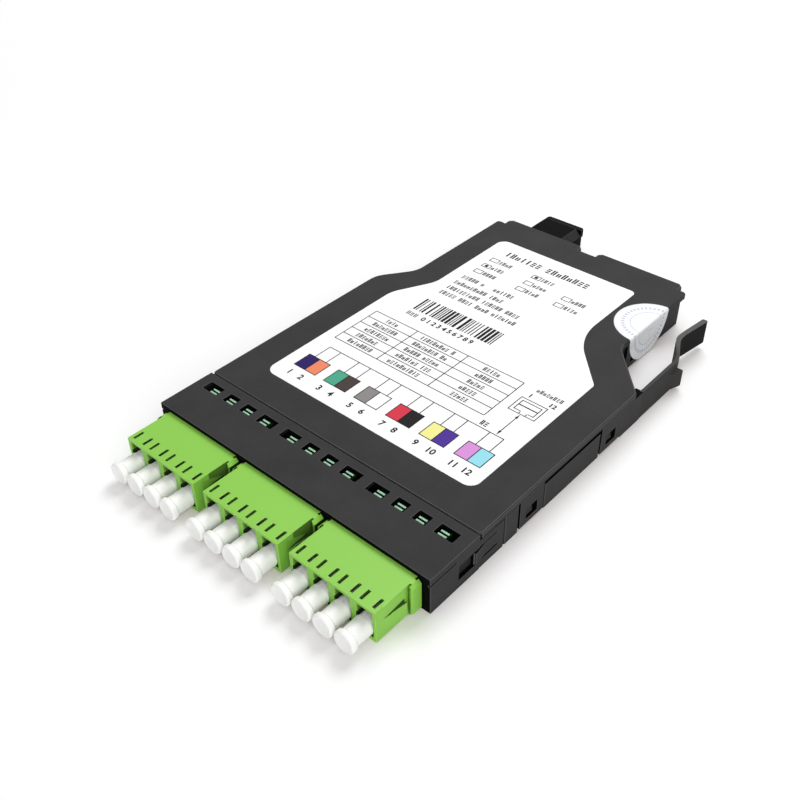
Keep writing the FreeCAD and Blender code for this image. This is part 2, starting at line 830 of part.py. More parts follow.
def tube_along(points, diameter):
    """Round tube along straight runs joined by arcs as large as the runs allow."""
    edges = []
    start = points[0]
    for i in range(1, len(points) - 1):
        back = points[i - 1] - points[i]
        ahead = points[i + 1] - points[i]
        run = min(back.Length, ahead.Length)
        back.normalize()
        ahead.normalize()
        half_angle = back.getAngle(ahead) / 2
        turn = math.pi - 2 * half_angle
        if turn < 1e-4:
            continue
        reach = lead_bend_share * run
        radius = reach * math.tan(half_angle)
        inward = back + ahead
        inward.normalize()
        middle = points[i] + inward * (radius / math.sin(half_angle) - radius)
        first = points[i] + back * reach
        last = points[i] + ahead * reach
        edges.append(Part.LineSegment(start, first).toShape())
        edges.append(Part.Arc(first, middle, last).toShape())
        start = last
    edges.append(Part.LineSegment(start, points[-1]).toShape())
    path = Part.Wire(edges)
    direction = points[1] - points[0]
    ring = Part.Wire([Part.Circle(points[0], direction, diameter / 2).toShape()])
    return path.makePipeShell([ring], True, False)


def fibre_lead(number, x):
    """Single fibre from a boot to its place in the row on the fan-out block."""
    block_x = mpo_x + (number - (len(port_centres) - 1) / 2) * lead_block_pitch
    return tube_along([
        Vector(x, lead_start, axis_z),
        Vector(x, lead_start + lead_straight, axis_z),
        Vector(block_x, fan_front - lead_straight, axis_z),
        Vector(block_x, fan_front, axis_z),
    ], lead_diameter)


def fan_block_width():
    """Width of the fan-out block over its row of leads."""
    return len(port_centres) * lead_block_pitch + 2 * fan_block_margin


def fan_out_block():
    """Block that gathers the leads into one tube, with bevelled ends."""
    half = fan_block_width() / 2
    low = floor_thickness
    corner = fan_block_margin
    return plate([
        (mpo_x - half, fan_front, 0),
        (mpo_x + half, fan_front, 0),
        (mpo_x + half, fan_rear - corner, 0),
        (mpo_x + half - corner, fan_rear, 0),
        (mpo_x - half + corner, fan_rear, 0),
        (mpo_x - half, fan_rear - corner, 0),
    ], low, low + fan_block_height)


def trunk_tube():
    """Short tube between the fan-out block and the wide connector's boot."""
    return rod(trunk_diameter / 2, trunk_length, Vector(mpo_x, fan_rear, mpo_z), Vector(0, 1, 0))


def port_outline(margin):
    """Section of the rear port with its right top corner bevelled, moved inwards by a margin."""
    half = mpo_width / 2 - margin
    low = mpo_low + margin
    top = mpo_top - margin
    corner = mpo_chamfer - margin * (2 - math.sqrt(2))
    return [
        (mpo_x - half, low),
        (mpo_x + half, low),
        (mpo_x + half, top - corner),
        (mpo_x + half - corner, top),
        (mpo_x - half, top),
    ]


def mpo_adapter():
    """Rear adapter: a tube with flange ears inside the wall and a keyway at each end."""
    half = mpo_width / 2
    ear_half = half + mpo_ear
    inner_tube = box(mpo_x - half, mpo_x + half, mpo_front, mpo_flange_rear, mpo_low, mpo_top)
    outer_tube = profile_y(port_outline(0), mpo_flange_rear, mpo_rear)
    ears = box(mpo_x - ear_half, mpo_x + ear_half, mpo_flange_front, mpo_flange_rear,
               floor_thickness + fit_gap, mpo_top)
    inner_bore = box(mpo_x - half + mpo_wall, mpo_x + half - mpo_wall, mpo_front - 1,
                     mpo_flange_rear, mpo_low + mpo_wall, mpo_top - mpo_wall)
    outer_bore = profile_y(port_outline(mpo_wall), mpo_flange_rear, mpo_rear + 1)
    shape = fused([inner_tube, outer_tube, ears]).cut(inner_bore).cut(outer_bore)
    keyway_half = keyway_width / 2
    for start, end in ((mpo_front - 1, mpo_front + keyway_length),
                       (mpo_rear - keyway_length, mpo_rear + 1)):
        shape = shape.cut(box(mpo_x - keyway_half, mpo_x + keyway_half, start, end, mpo_z,
                              mpo_top - keyway_roof))
    return shape


def mpo_dust_cap():
    """Cap in the rear port, with a pull lip along the top of its head."""
    half = mpo_width / 2
    head_start = mpo_rear + fit_gap / 2
    head_end = head_start + cap_head
    lip_end = head_end + cap_lip_length
    plug = profile_y(port_outline(mpo_wall + cap_gap), mpo_rear - cap_insert, head_start)
    head = box(mpo_x - half, mpo_x + half, head_start, head_end, mpo_low, mpo_top)
    lip_plate = plate([
        (mpo_x - half, head_start, 0),
        (mpo_x + half, head_start, 0),
        (mpo_x + half, lip_end - cap_chamfer, 0),
        (mpo_x + half - cap_chamfer, lip_end, 0),
        (mpo_x - half + cap_chamfer, lip_end, 0),
        (mpo_x - half, lip_end - cap_chamfer, 0),
    ], mpo_top - cap_lip_height, mpo_top)
    return fused([plug, head, lip_plate])


def mpo_connector():
    """Wide connector in the inner end of the rear adapter, with its grip and boot."""
    nose_half = mpo_width / 2 - mpo_wall - mpo_nose_clearance
    nose_low = max(mpo_low + mpo_wall + mpo_nose_clearance, floor_thickness + fit_gap)
    nose_top = mpo_top - mpo_wall - mpo_nose_clearance
    nose_end = mpo_flange_front
    nose = box(mpo_x - nose_half, mpo_x + nose_half, mpo_grip_front, nose_end, nose_low, nose_top)
    grip_half = mpo_width / 2 - mpo_nose_clearance
    grip_low = max(mpo_z - mpo_grip_height / 2, floor_thickness + fit_gap)
    grip_top = mpo_z + mpo_grip_height / 2
    bite = mpo_grip_waist / 2
    grip_middle = mpo_grip_front + mpo_grip_length / 2
    grip = plate([
        (mpo_x - grip_half, mpo_grip_front, 0),
        (mpo_x + grip_half, mpo_grip_front, 0),
        (mpo_x + grip_half - mpo_wall, grip_middle - bite, 0),
        (mpo_x + grip_half - mpo_wall, grip_middle + bite, 0),
        (mpo_x + grip_half, mpo_grip_rear, 0),
        (mpo_x - grip_half, mpo_grip_rear, 0),
        (mpo_x - grip_half + mpo_wall, grip_middle + bite, 0),
        (mpo_x - grip_half + mpo_wall, grip_middle - bite, 0),
    ], grip_low, grip_top)
    boot = Part.makeCone(trunk_diameter / 2 + mpo_wall, mpo_boot_diameter / 2, mpo_boot_length,
                         Vector(mpo_x, mpo_boot_front, mpo_z), Vector(0, 1, 0))
    seat = box(mpo_x - mt_ferrule_width / 2 - bore_gap, mpo_x + mt_ferrule_width / 2 + bore_gap,
               nose_end + mt_ferrule_proud - mt_ferrule_length, nose_end + 1,
               mpo_z - mt_ferrule_height / 2 - bore_gap, mpo_z + mt_ferrule_height / 2 + bore_gap)
    return fused([nose, grip, boot]).cut(seat)


def mpo_ferrule():
    """Flat ferrule in the nose of the wide connector, drilled for its guide pins."""
    end = mpo_flange_front + mt_ferrule_proud
    block = box(mpo_x - mt_ferrule_width / 2, mpo_x + mt_ferrule_width / 2,
                end - mt_ferrule_length, end, mpo_z - mt_ferrule_height / 2,
                mpo_z + mt_ferrule_height / 2)
    for side in (-1, 1):
        block = block.cut(rod(guide_pin_diameter / 2 + bore_gap, guide_pin_length,
                              Vector(mpo_x + side * guide_pin_spacing / 2,
                                     end + guide_pin_proud - guide_pin_length, mpo_z),
                              Vector(0, 1, 0)))
    return block


def guide_pins():
    """Pair of steel pins in the flat ferrule."""
    start = mpo_flange_front + mt_ferrule_proud + guide_pin_proud - guide_pin_length
    return [rod(guide_pin_diameter / 2, guide_pin_length,
                Vector(mpo_x + side * guide_pin_spacing / 2, start, mpo_z), Vector(0, 1, 0))
            for side in (-1, 1)]


def label():
    """Paper label on the cover, following its shoulders."""
    side = half_width - label_margin
    front = strip_depth + label_front
    rear = housing_depth - label_rear
    left = neck_left + label_neck_left
    right = neck_right - label_neck_right
    left_low = left_shoulder_start + label_step_left
    right_low = right_shoulder_start + label_step_right
    return plate([
        (-side, front, label_corner),
        (side, front, label_corner),
        (side, right_low, label_corner / 2),
        (right, right_low + label_right_run, label_curve),
        (right, rear, label_corner / 2),
        (left, rear, label_corner),
        (left, left_low + label_left_run, label_left_curve),
        (-side, left_low, label_left_curve),
    ], housing_height, housing_height + paper)


def seal_sticker():
    """Round paper seal, about half on the cover and half folded down over its right edge."""
    middle = right_shoulder_start + right_shoulder_run + seal_from_shoulder
    edge = neck_right
    top_z = housing_height
    disc = rod(seal_radius, paper, Vector(edge + seal_overhang, middle, top_z), Vector(0, 0, 1))
    disc = disc.cut(box(edge, edge + 2 * seal_radius, middle - 2 * seal_radius,
                        middle + 2 * seal_radius, top_z - 1, top_z + 1))
    hinge = box(edge - edge_chamfer, edge + paper, middle - seal_radius + paper,
                middle + seal_radius - paper, top_z, top_z + paper)
    flap = rod(seal_radius, paper, Vector(edge, middle, top_z - seal_overhang), Vector(1, 0, 0))
    flap = flap.common(box(edge, edge + paper, middle - seal_radius, middle + seal_radius,
                           tab_foot, top_z + paper))
    return fused([disc, hinge, flap])


adapter_names = ["left", "centre", "right"]
pieces = {
    "base_tray": base_tray(),
    "top_cover": top_cover(),
    "release_lever": release_lever(),
    "mpo_adapter": mpo_adapter(),
    "mpo_dust_cap": mpo_dust_cap(),
    "mpo_connector": mpo_connector(),
    "mpo_ferrule": mpo_ferrule(),
    "guide_pins": Part.makeCompound(guide_pins()),
    "fan_out_block": fan_out_block(),
    "trunk_tube": trunk_tube(),
    "label": label(),
    "seal_sticker": seal_sticker(),
    "lc_ferrules": Part.makeCompound([lc_ferrule(x) for x in port_centres]),
    "lc_boots": Part.makeCompound([lc_boot(x) for x in port_centres]),
    "alignment_sleeves": Part.makeCompound([alignment_sleeve(x) for x in port_centres]),
}
for name, centre in zip(adapter_names, adapter_centres):
    pieces["lc_adapter_" + name] = lc_adapter(centre)
for number, x in enumerate(port_centres):
    pieces["dust_plug_%02d" % (number + 1)] = dust_plug(x)
    pieces["lc_connector_%02d" % (number + 1)] = lc_connector(x)
    pieces["fibre_lead_%02d" % (number + 1)] = fibre_lead(number, x)

# The origin lies on the underside, half-way along the housing
os.makedirs("parts", exist_ok=True)
for name, shape in pieces.items():
    shape.translate(Vector(0, -housing_depth / 2, 0))
    shape.exportStep("parts/" + name + ".step")
    print(name, len(shape.Solids), round(shape.Volume, 2), shape.isValid())
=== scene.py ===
# %% [markdown]
# # A fibre patch cassette, dressed for its picture
# The cassette is a flat black module that slides into a rack enclosure. Its solids come ready
# made, at their real size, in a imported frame. This lesson gives them their finish: softened
# edges, grained plastic, a printed label, a paper seal, milky dust plugs, and a white studio.

# %% Load the frame
import json
import math

import bmesh
import bpy
import numpy as np
from mathutils import Matrix, Vector
from mathutils.bvhtree import BVHTree


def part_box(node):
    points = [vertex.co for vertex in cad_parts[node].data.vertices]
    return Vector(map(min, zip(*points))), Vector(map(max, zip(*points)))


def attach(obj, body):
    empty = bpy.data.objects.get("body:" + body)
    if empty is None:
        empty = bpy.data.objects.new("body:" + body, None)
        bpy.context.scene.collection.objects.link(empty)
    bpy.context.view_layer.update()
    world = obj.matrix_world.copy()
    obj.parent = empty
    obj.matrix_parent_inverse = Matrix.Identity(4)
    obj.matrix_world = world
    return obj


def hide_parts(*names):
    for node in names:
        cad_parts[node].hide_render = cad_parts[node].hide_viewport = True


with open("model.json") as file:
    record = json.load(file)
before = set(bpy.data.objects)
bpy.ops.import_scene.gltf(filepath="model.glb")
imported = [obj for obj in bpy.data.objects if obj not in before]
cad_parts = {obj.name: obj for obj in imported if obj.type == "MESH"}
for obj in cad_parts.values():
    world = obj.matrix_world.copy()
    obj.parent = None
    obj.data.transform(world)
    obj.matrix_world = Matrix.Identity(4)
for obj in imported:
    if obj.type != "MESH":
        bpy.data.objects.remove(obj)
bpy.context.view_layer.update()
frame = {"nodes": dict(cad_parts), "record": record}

nodes = frame["nodes"]

# %% [markdown]
# Everything is placed from the frame, in metres. The label's layout is easier to think about in
# millimetres from the housing's front face, so MM turns such a length into metres, and a helper
# adds the place of the front face.

# %% Places taken from the frame
MM = 0.001
front_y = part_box("base_tray")[0].y
cover_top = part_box("top_cover")[1].z
label_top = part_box("label")[1].z
body_of_node = {node: body for body, members in frame["record"]["behaviour"]["bodies"].items()
                for node in members}
slot_of_node = {row["node"]: row["material_slot"] for row in frame["record"]["subparts"]}


def from_front(y_mm):
    """Metres along Y of a place given in millimetres behind the housing's front face."""
    return front_y + y_mm * MM


print("cover top %.2f mm, label top %.2f mm" % (cover_top / MM, label_top / MM))

# %% [markdown]
# A material is a small graph of nodes. Wiring each node by hand takes several lines, so helpers
# make the ones that come up again and again: a sum, a noise, a smooth step, a mix of two colours.
# Each returns its output, ready to feed the next node.

# %% Node helpers
FLOAT = "NodeSocketFloat"
COLOUR = "NodeSocketColor"


def new_group(name, inputs, outputs):
    """Empty shader node group with float or colour sockets, as (name, socket kind, default)."""
    group = bpy.data.node_groups.new(name, "ShaderNodeTree")
    for label, kind, value in inputs:
        socket = group.interface.new_socket(label, in_out="INPUT", socket_type=kind)
        socket.default_value = value
    for label, kind in outputs:
        group.interface.new_socket(label, in_out="OUTPUT", socket_type=kind)
    return group, group.nodes.new("NodeGroupInput"), group.nodes.new("NodeGroupOutput")


def feed(tree, socket, value):
    """Links an input to another node's output, or sets it to a plain number or colour."""
    if isinstance(value, bpy.types.NodeSocket):
        tree.links.new(value, socket)
    else:
        socket.default_value = value


def math_node(tree, operation, *operands):
    """Math node whose operands are sockets or plain numbers; returns its output."""
    node = tree.nodes.new("ShaderNodeMath")
    node.operation = operation
    for socket, value in zip(node.inputs, operands):
        feed(tree, socket, value)
    return node.outputs[0]


def object_noise(tree, scale, detail, roughness):
    """Noise on Object coordinates; scale is in features per metre, a number or a socket."""
    place = tree.nodes.new("ShaderNodeTexCoord")
    noise = tree.nodes.new("ShaderNodeTexNoise")
    noise.inputs["Detail"].default_value = detail
    noise.inputs["Roughness"].default_value = roughness
    tree.links.new(place.outputs["Object"], noise.inputs["Vector"])
    feed(tree, noise.inputs["Scale"], scale)
    return noise.outputs["Fac"]


def object_axis(tree, axis):
    """One Object coordinate, X, Y or Z, in metres."""
    place = tree.nodes.new("ShaderNodeTexCoord")
    axes = tree.nodes.new("ShaderNodeSeparateXYZ")
    tree.links.new(place.outputs["Object"], axes.inputs[0])
    return axes.outputs[axis]


def vector_length(tree, vector):
    """Length of a vector socket."""
    node = tree.nodes.new("ShaderNodeVectorMath")
    node.operation = "LENGTH"
    tree.links.new(vector, node.inputs[0])
    return node.outputs["Value"]


def smooth_step(tree, value, start, end):
    """Rises smoothly from 0 to 1 while a value goes from start to end."""
    step = tree.nodes.new("ShaderNodeMapRange")
    step.interpolation_type = "SMOOTHSTEP"
    step.inputs["From Min"].default_value = start
    step.inputs["From Max"].default_value = end
    tree.links.new(value, step.inputs["Value"])
    return step.outputs["Result"]


def mixed_colour(tree, share, first, second):
    """Mix of two colours, sockets or plain RGBA; share 0 gives the first and 1 the second."""
    mix = tree.nodes.new("ShaderNodeMix")
    mix.data_type = "RGBA"
    for label, value in (("Factor", share), ("A", first), ("B", second)):
        feed(tree, mix.inputs[label], value)
    return mix.outputs["Result"]


def scaled_colour(tree, colour, share):
    """A colour socket times a number socket."""
    scale = tree.nodes.new("ShaderNodeVectorMath")
    scale.operation = "SCALE"
    tree.links.new(colour, scale.inputs[0])
    tree.links.new(share, scale.inputs["Scale"])
    return scale.outputs[0]


def attribute_node(tree, name):
    """Node that reads an attribute of the mesh."""
    node = tree.nodes.new("ShaderNodeAttribute")
    node.attribute_name = name
    return node


print("node helpers for sockets of the kinds", FLOAT, "and", COLOUR)

# %% [markdown]
# Moulded plastic is never one flat colour. A node group holds what several plastics share: a fine
# grain for the bump, a slow mottle for colour and gloss, and two masks. One lightens the softened
# edges, partly for the polish of handling and partly as a painted highlight. The other darkens
# cavities as painted shade, and makes the moulding duller there. A group puts out only values that
# change over the surface. The shader stays in each material, where an exporter can read it.

# %% Moulded grain group
mottle_per_metre = 90.0
speck_share = 0.6
mottle_rough, edge_rough, cavity_rough = 0.06, -0.08, 0.3


def make_moulded_grain():
    """Fine grain and slow mottle.

    Tint is the colour times 1 + mottle, mixed with the edge colour on open edges, partly for wear and
    partly as a painted highlight, and then darkened by 1 - depth * shade as painted shade, where shade
    is gain * (cavity - start), kept between 0 and 1.
    """
    group, given, out = new_group(
        "Moulded grain",
        [("Colour", COLOUR, (0.5, 0.5, 0.5, 1)), ("Edge colour", COLOUR, (0.6, 0.6, 0.6, 1)),
         ("Grain per metre", FLOAT, 5000.0), ("Mottle", FLOAT, 0.15),
         ("Roughness", FLOAT, 0.5), ("Edge lift", FLOAT, 0.3), ("Cavity depth", FLOAT, 0.8),
         ("Cavity start", FLOAT, 0.0), ("Cavity gain", FLOAT, 1.3)],
        [("Tint", COLOUR), ("Roughness", FLOAT), ("Height", FLOAT)])
    grain = object_noise(group, given.outputs["Grain per metre"], 2.0, 0.6)
    slow = object_noise(group, mottle_per_metre, 3.0, 0.55)
    edge = attribute_node(group, "edge").outputs["Fac"]
    cavity = attribute_node(group, "cavity").outputs["Fac"]
    swing = math_node(group, "MULTIPLY_ADD", slow, 2.0, -1.0)
    speck = math_node(group, "MULTIPLY_ADD", grain, 2 * speck_share, -speck_share)
    change = math_node(group, "ADD", swing, speck)
    mottled = math_node(group, "MULTIPLY_ADD", change, given.outputs["Mottle"], 1.0)
    tint = scaled_colour(group, given.outputs["Colour"], mottled)
    # Painted shade: how much the cavity attribute darkens the tint.
    beyond = math_node(group, "SUBTRACT", cavity, given.outputs["Cavity start"])
    gained = math_node(group, "MULTIPLY", beyond, given.outputs["Cavity gain"])
    shade = math_node(group, "MAXIMUM", math_node(group, "MINIMUM", gained, 1.0), 0.0)
    # Open edges lift towards the edge colour: partly wear, partly a painted highlight.
    open_edge = math_node(group, "MULTIPLY", edge, math_node(group, "SUBTRACT", 1.0, shade))
    lift = math_node(group, "MULTIPLY", open_edge, given.outputs["Edge lift"])
    lifted = mixed_colour(group, lift, tint, given.outputs["Edge colour"])
    hidden = math_node(group, "MULTIPLY", shade, given.outputs["Cavity depth"])
    dark = scaled_colour(group, lifted, math_node(group, "SUBTRACT", 1.0, hidden))
    gloss = math_node(group, "MULTIPLY_ADD", swing, mottle_rough, given.outputs["Roughness"])
    polish = math_node(group, "MULTIPLY_ADD", edge, edge_rough, gloss)
    dull = math_node(group, "MULTIPLY_ADD", cavity, cavity_rough, polish)
    for label, value in (("Tint", dark), ("Roughness", dull), ("Height", grain)):
        group.links.new(value, out.inputs[label])
    return group


moulded_grain = make_moulded_grain()
print("group:", moulded_grain.name)

# %% [markdown]
# Each plastic then is one Principled shader with that group in front of it. What is the same all
# over a surface, such as the milky depth of a dust plug, is set on the shader's own socket.

# %% A plastic from the grain group
grain_depth = 0.02 * MM
milky_reach = 1.0 * MM
milky_spread = (1.0, 0.95, 0.85)


def plain_material(name):
    """Material with an empty Principled shader; returns the material, its tree and the shader."""
    material = bpy.data.materials.new(name)
    material.use_nodes = True
    tree = material.node_tree
    shader = tree.nodes["Principled BSDF"]
    return material, tree, shader


def add_bump(tree, shader, height, strength, depth):
    """Bump of a height signal on the shader's normal, over any bump there; depth is in metres."""
    bump = tree.nodes.new("ShaderNodeBump")
    bump.inputs["Strength"].default_value = strength
    bump.inputs["Distance"].default_value = depth
    tree.links.new(height, bump.inputs["Height"])
    if shader.inputs["Normal"].is_linked:
        tree.links.new(shader.inputs["Normal"].links[0].from_socket, bump.inputs["Normal"])
    tree.links.new(bump.outputs["Normal"], shader.inputs["Normal"])


def moulded(name, colour, edge_colour, roughness, grain=5000.0, mottle=0.12, edge_lift=0.3,
            bump=0.25, specular=0.5, milky=0.0, cavity_depth=0.8, cavity_start=0.0,
            cavity_gain=1.3):
    """Grained plastic; milky is the share of light that goes into the plastic and comes back."""
    material, tree, shader = plain_material(name)
    group = tree.nodes.new("ShaderNodeGroup")
    group.node_tree = moulded_grain
    settings = {"Colour": (*colour, 1), "Edge colour": (*edge_colour, 1), "Grain per metre": grain,
                "Mottle": mottle, "Roughness": roughness, "Edge lift": edge_lift,
                "Cavity depth": cavity_depth, "Cavity start": cavity_start,
                "Cavity gain": cavity_gain}
    for label, value in settings.items():
        group.inputs[label].default_value = value
    tree.links.new(group.outputs["Tint"], shader.inputs["Base Color"])
    tree.links.new(group.outputs["Roughness"], shader.inputs["Roughness"])
    shader.inputs["Specular IOR Level"].default_value = specular
    if milky > 0:
        shader.inputs["Subsurface Weight"].default_value = milky
        shader.inputs["Subsurface Radius"].default_value = milky_spread
        shader.inputs["Subsurface Scale"].default_value = milky_reach
    add_bump(tree, shader, group.outputs["Height"], bump, grain_depth)
    return material


print("grain depth %.2f mm, milky reach %.1f mm" % (grain_depth / MM, milky_reach / MM))

# %% [markdown]
# The cassette has few plastics: a dark grey housing, a blacker rear port, light green adapters and
# white plugs. The fibres inside take the colours that the record gives them. The dark plastics
# have a low specular level, because a matt moulding shows its own colour and hardly mirrors.

# %% Plastics of the cassette
lead_colours = {row["slot"]: row["base_color"][:3] for row in frame["record"]["materials"]
                if row["slot"].startswith("lead_")}
# Most edge colours are lighter than their plastic: partly wear, partly a painted highlight. The cavity
# settings give the painted shade.
finishes = {
    "housing": moulded("Black housing", (0.042, 0.0415, 0.043), (0.13, 0.128, 0.125), 0.55,
                       grain=2600.0, mottle=0.26, edge_lift=0.6, bump=0.4, specular=0.035,
                       cavity_depth=0.95, cavity_gain=2.2),
    "rear_port": moulded("Rear port black", (0.007, 0.007, 0.0068), (0.07, 0.07, 0.07), 0.5,
                         edge_lift=0.8, bump=0.15, specular=0.02),
    "adapter_green": moulded("Adapter green", (0.25, 0.58, 0.067), (0.42, 0.76, 0.18), 0.42,
                             mottle=0.03, edge_lift=0.6, bump=0.08, specular=0.35,
                             cavity_depth=0.95, cavity_start=0.42, cavity_gain=3.2),
    "plug_white": moulded("Milky plug", (0.97, 0.97, 0.945), (0.97, 0.97, 0.95), 0.4,
                          mottle=0.01, bump=0.05, milky=0.12),
    "ceramic": moulded("Ceramic", (0.84, 0.83, 0.80), (0.9, 0.9, 0.88), 0.15, mottle=0.02,
                       bump=0.02),
    "ferrule_resin": moulded("Ferrule resin", (0.05, 0.045, 0.04), (0.09, 0.08, 0.07), 0.35),
    "boot": moulded("Tail boot", (0.70, 0.71, 0.70), (0.75, 0.76, 0.75), 0.6, mottle=0.04),
}
for slot_name, rgb in lead_colours.items():
    finishes[slot_name] = moulded("Fibre " + slot_name, rgb, rgb, 0.4, mottle=0.05, bump=0.05)
print("plastics:", len(finishes))

# %% [markdown]
# Two steel pins line up the wide connector inside. Metal needs no grain group: a plain metallic
# shader with a very fine bump for the drawn surface is enough.

# %% Steel of the guide pins
draw_marks_per_metre, draw_mark_depth = 9000.0, 0.004 * MM
pin_steel, pin_tree, pin_shader = plain_material("Guide pin steel")
pin_shader.inputs["Metallic"].default_value = 1.0
pin_shader.inputs["Base Color"].default_value = (0.62, 0.62, 0.64, 1)
pin_shader.inputs["Roughness"].default_value = 0.22
draw_marks = object_noise(pin_tree, draw_marks_per_metre, 2.0, 0.5)
add_bump(pin_tree, pin_shader, draw_marks, 0.1, draw_mark_depth)
finishes["steel"] = pin_steel
print("finish:", pin_steel.name)

# %% [markdown]
# The lever's root is as grey as the wall that it grows from. Its thumb tab is the same plastic painted
# darker, as painted shade, and its edges get a pale painted highlight. Two materials would leave a
# hard line between them. Here one material's colours change along Object Y instead, which keeps the
# passage soft.

# %% Lever: painted shade along its length
root_colour, root_edge = (0.042, 0.0415, 0.0415), (0.09, 0.089, 0.088)
# The tab's darker colour is painted shade; its pale edge colour is a painted highlight.
tab_painted_shade, tab_edge_highlight = (0.011, 0.0108, 0.0106), (0.2, 0.198, 0.196)
tone_start, tone_end = 19 * MM, 27 * MM
lever_black = moulded("Lever black", tab_painted_shade, tab_edge_highlight, 0.55, edge_lift=0.9, bump=0.2,
                      specular=0.02)
lever_tree = lever_black.node_tree
lever_group = next(node for node in lever_tree.nodes if node.type == "GROUP")
lever_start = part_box("release_lever")[0].y
towards_tab_shade = smooth_step(lever_tree, object_axis(lever_tree, "Y"), lever_start + tone_start,
                          lever_start + tone_end)
for label, root, tab in (("Colour", root_colour, tab_painted_shade), ("Edge colour", root_edge, tab_edge_highlight)):
    tone = mixed_colour(lever_tree, towards_tab_shade, (*root, 1), (*tab, 1))
    lever_tree.links.new(tone, lever_group.inputs[label])
print("finish:", lever_black.name)

# %% [markdown]
# Each window in the front strip shows a connector's latch: raised ribs that catch the light over a
# floor in shadow. The windows are too small for lamps to draw that well, so the material paints both
# by height: a pale mint highlight on the ribs and shadow on the floor, with a little noise for wear
# and an uneven highlight.

# %% Latches behind the windows
rib_depth = 0.12 * MM
# The ribs' pale mint is a painted highlight; the latch's dark green floor is painted shadow.
rib_mint_highlight, latch_shadow = (0.40, 0.64, 0.46, 1), (0.006, 0.026, 0.008, 1)
wear_per_metre, wear_gain, wear_floor = 700.0, 0.3, 0.8
window_green, window_tree, window_shader = plain_material("Latch green")
rib_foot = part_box("lc_connector_01")[1].z - rib_depth
on_rib = math_node(window_tree, "GREATER_THAN", object_axis(window_tree, "Z"), rib_foot)
wear = object_noise(window_tree, wear_per_metre, 2.0, 0.5)
wear_and_sheen = math_node(window_tree, "MULTIPLY_ADD", wear, wear_gain, wear_floor)
rib_share = math_node(window_tree, "MULTIPLY", on_rib, wear_and_sheen)
latch_tint = mixed_colour(window_tree, rib_share, latch_shadow, rib_mint_highlight)
window_tree.links.new(latch_tint, window_shader.inputs["Base Color"])
window_shader.inputs["Roughness"].default_value = 0.45
window_shader.inputs["Specular IOR Level"].default_value = 0.1
finishes["connector_green"] = window_green
print("finishes:", len(finishes))

# %% [markdown]
# Slots and gaps of a moulding look darker than its open faces, for less light gets in. That could be
# left to the lamps, but a model without the lamps would lose it. So the shade is painted: rays are
# sent out from the middles of each face's largest triangles, and the share that meets another surface
# close by becomes an attribute named cavity, which the grain group turns into painted shade.

# %% Rays that find cavities, for painted shade


def all_solids(left_out):
    """Search tree of the triangles of every solid at rest, but for some nodes."""
    points, faces = [], []
    for node, solid in nodes.items():
        if node in left_out:
            continue
        first = len(points)
        points += [solid.matrix_world @ vertex.co for vertex in solid.data.vertices]
        faces += [[first + index for index in face.vertices] for face in solid.data.polygons]
    return BVHTree.FromPolygons(points, faces)


ray_count = 24
ray_share = (np.arange(ray_count) + 0.5) / ray_count
ray_turn = np.arange(ray_count) * math.pi * (3 - math.sqrt(5))
ray_fan = np.stack([np.sqrt(ray_share) * np.cos(ray_turn), np.sqrt(ray_share) * np.sin(ray_turn),
                    np.sqrt(1 - ray_share)], axis=-1)
solid_search = all_solids(("label", "seal_sticker"))
cavity_reach = 5 * MM
ray_lift = 0.12 * MM
open_share = 0.1
triangle_limit, smallest_area = 8, 1e-14


def face_triangles(shape):
    """Area and middle of each face's triangles, the few largest of each face, by face index."""
    shape.faces.index_update()
    triangles = {}
    for corners in shape.calc_loop_triangles():
        a, b, c = (corner.vert.co for corner in corners)
        area = max((b - a).cross(c - a).length / 2, smallest_area)
        triangles.setdefault(corners[0].face.index, []).append((area, (a + b + c) / 3))
    return {index: sorted(some, key=lambda one: -one[0])[:triangle_limit]
            for index, some in triangles.items()}


def cavity_at(place, normal):
    """Share of rays from a place, spread as the cosine to its normal, that soon meet a surface.

    A small share counts as none, so that open faces keep one even tone.
    """
    turn = normal.to_track_quat("Z", "Y")
    start = place + normal * ray_lift
    hits = sum(solid_search.ray_cast(start, turn @ Vector(ray), cavity_reach)[0] is not None
               for ray in ray_fan)
    return max(hits / ray_count - open_share, 0) / (1 - open_share)


def face_cavity(triangles, normal):
    """Mean of the cavity at the middles of a face's triangles, weighted by their areas."""
    total = sum(area for area, middle in triangles)
    return sum(area * cavity_at(middle, normal) for area, middle in triangles) / total


print("rays from each triangle:", ray_count)

# %% [markdown]
# A mould can't cut a knife edge, so every real edge carries a small radius that catches the light.
# The solids have sharp edges. A copy of each visible solid is welded, its flat facets are joined, and
# its sharp edges are bevelled. The bevel's own faces are marked in an attribute named edge, which the
# grain group reads to lighten them, partly as wear and partly as a painted highlight. Each face's
# cavity is stored too, for painted shade.

# %% Softened copy of a solid
weld_reach = 0.001 * MM
facet_degrees, smooth_degrees = 0.5, 40.0
crowded_radii = 2.2
# Faces within these degrees of a chosen way take this share of the edge mark: a painted sheen.
sheen_degrees, sheen_share = 20.0, 0.6
# Bevels at a cavity's rim take this share of its painted shade.
bevel_share = 0.6


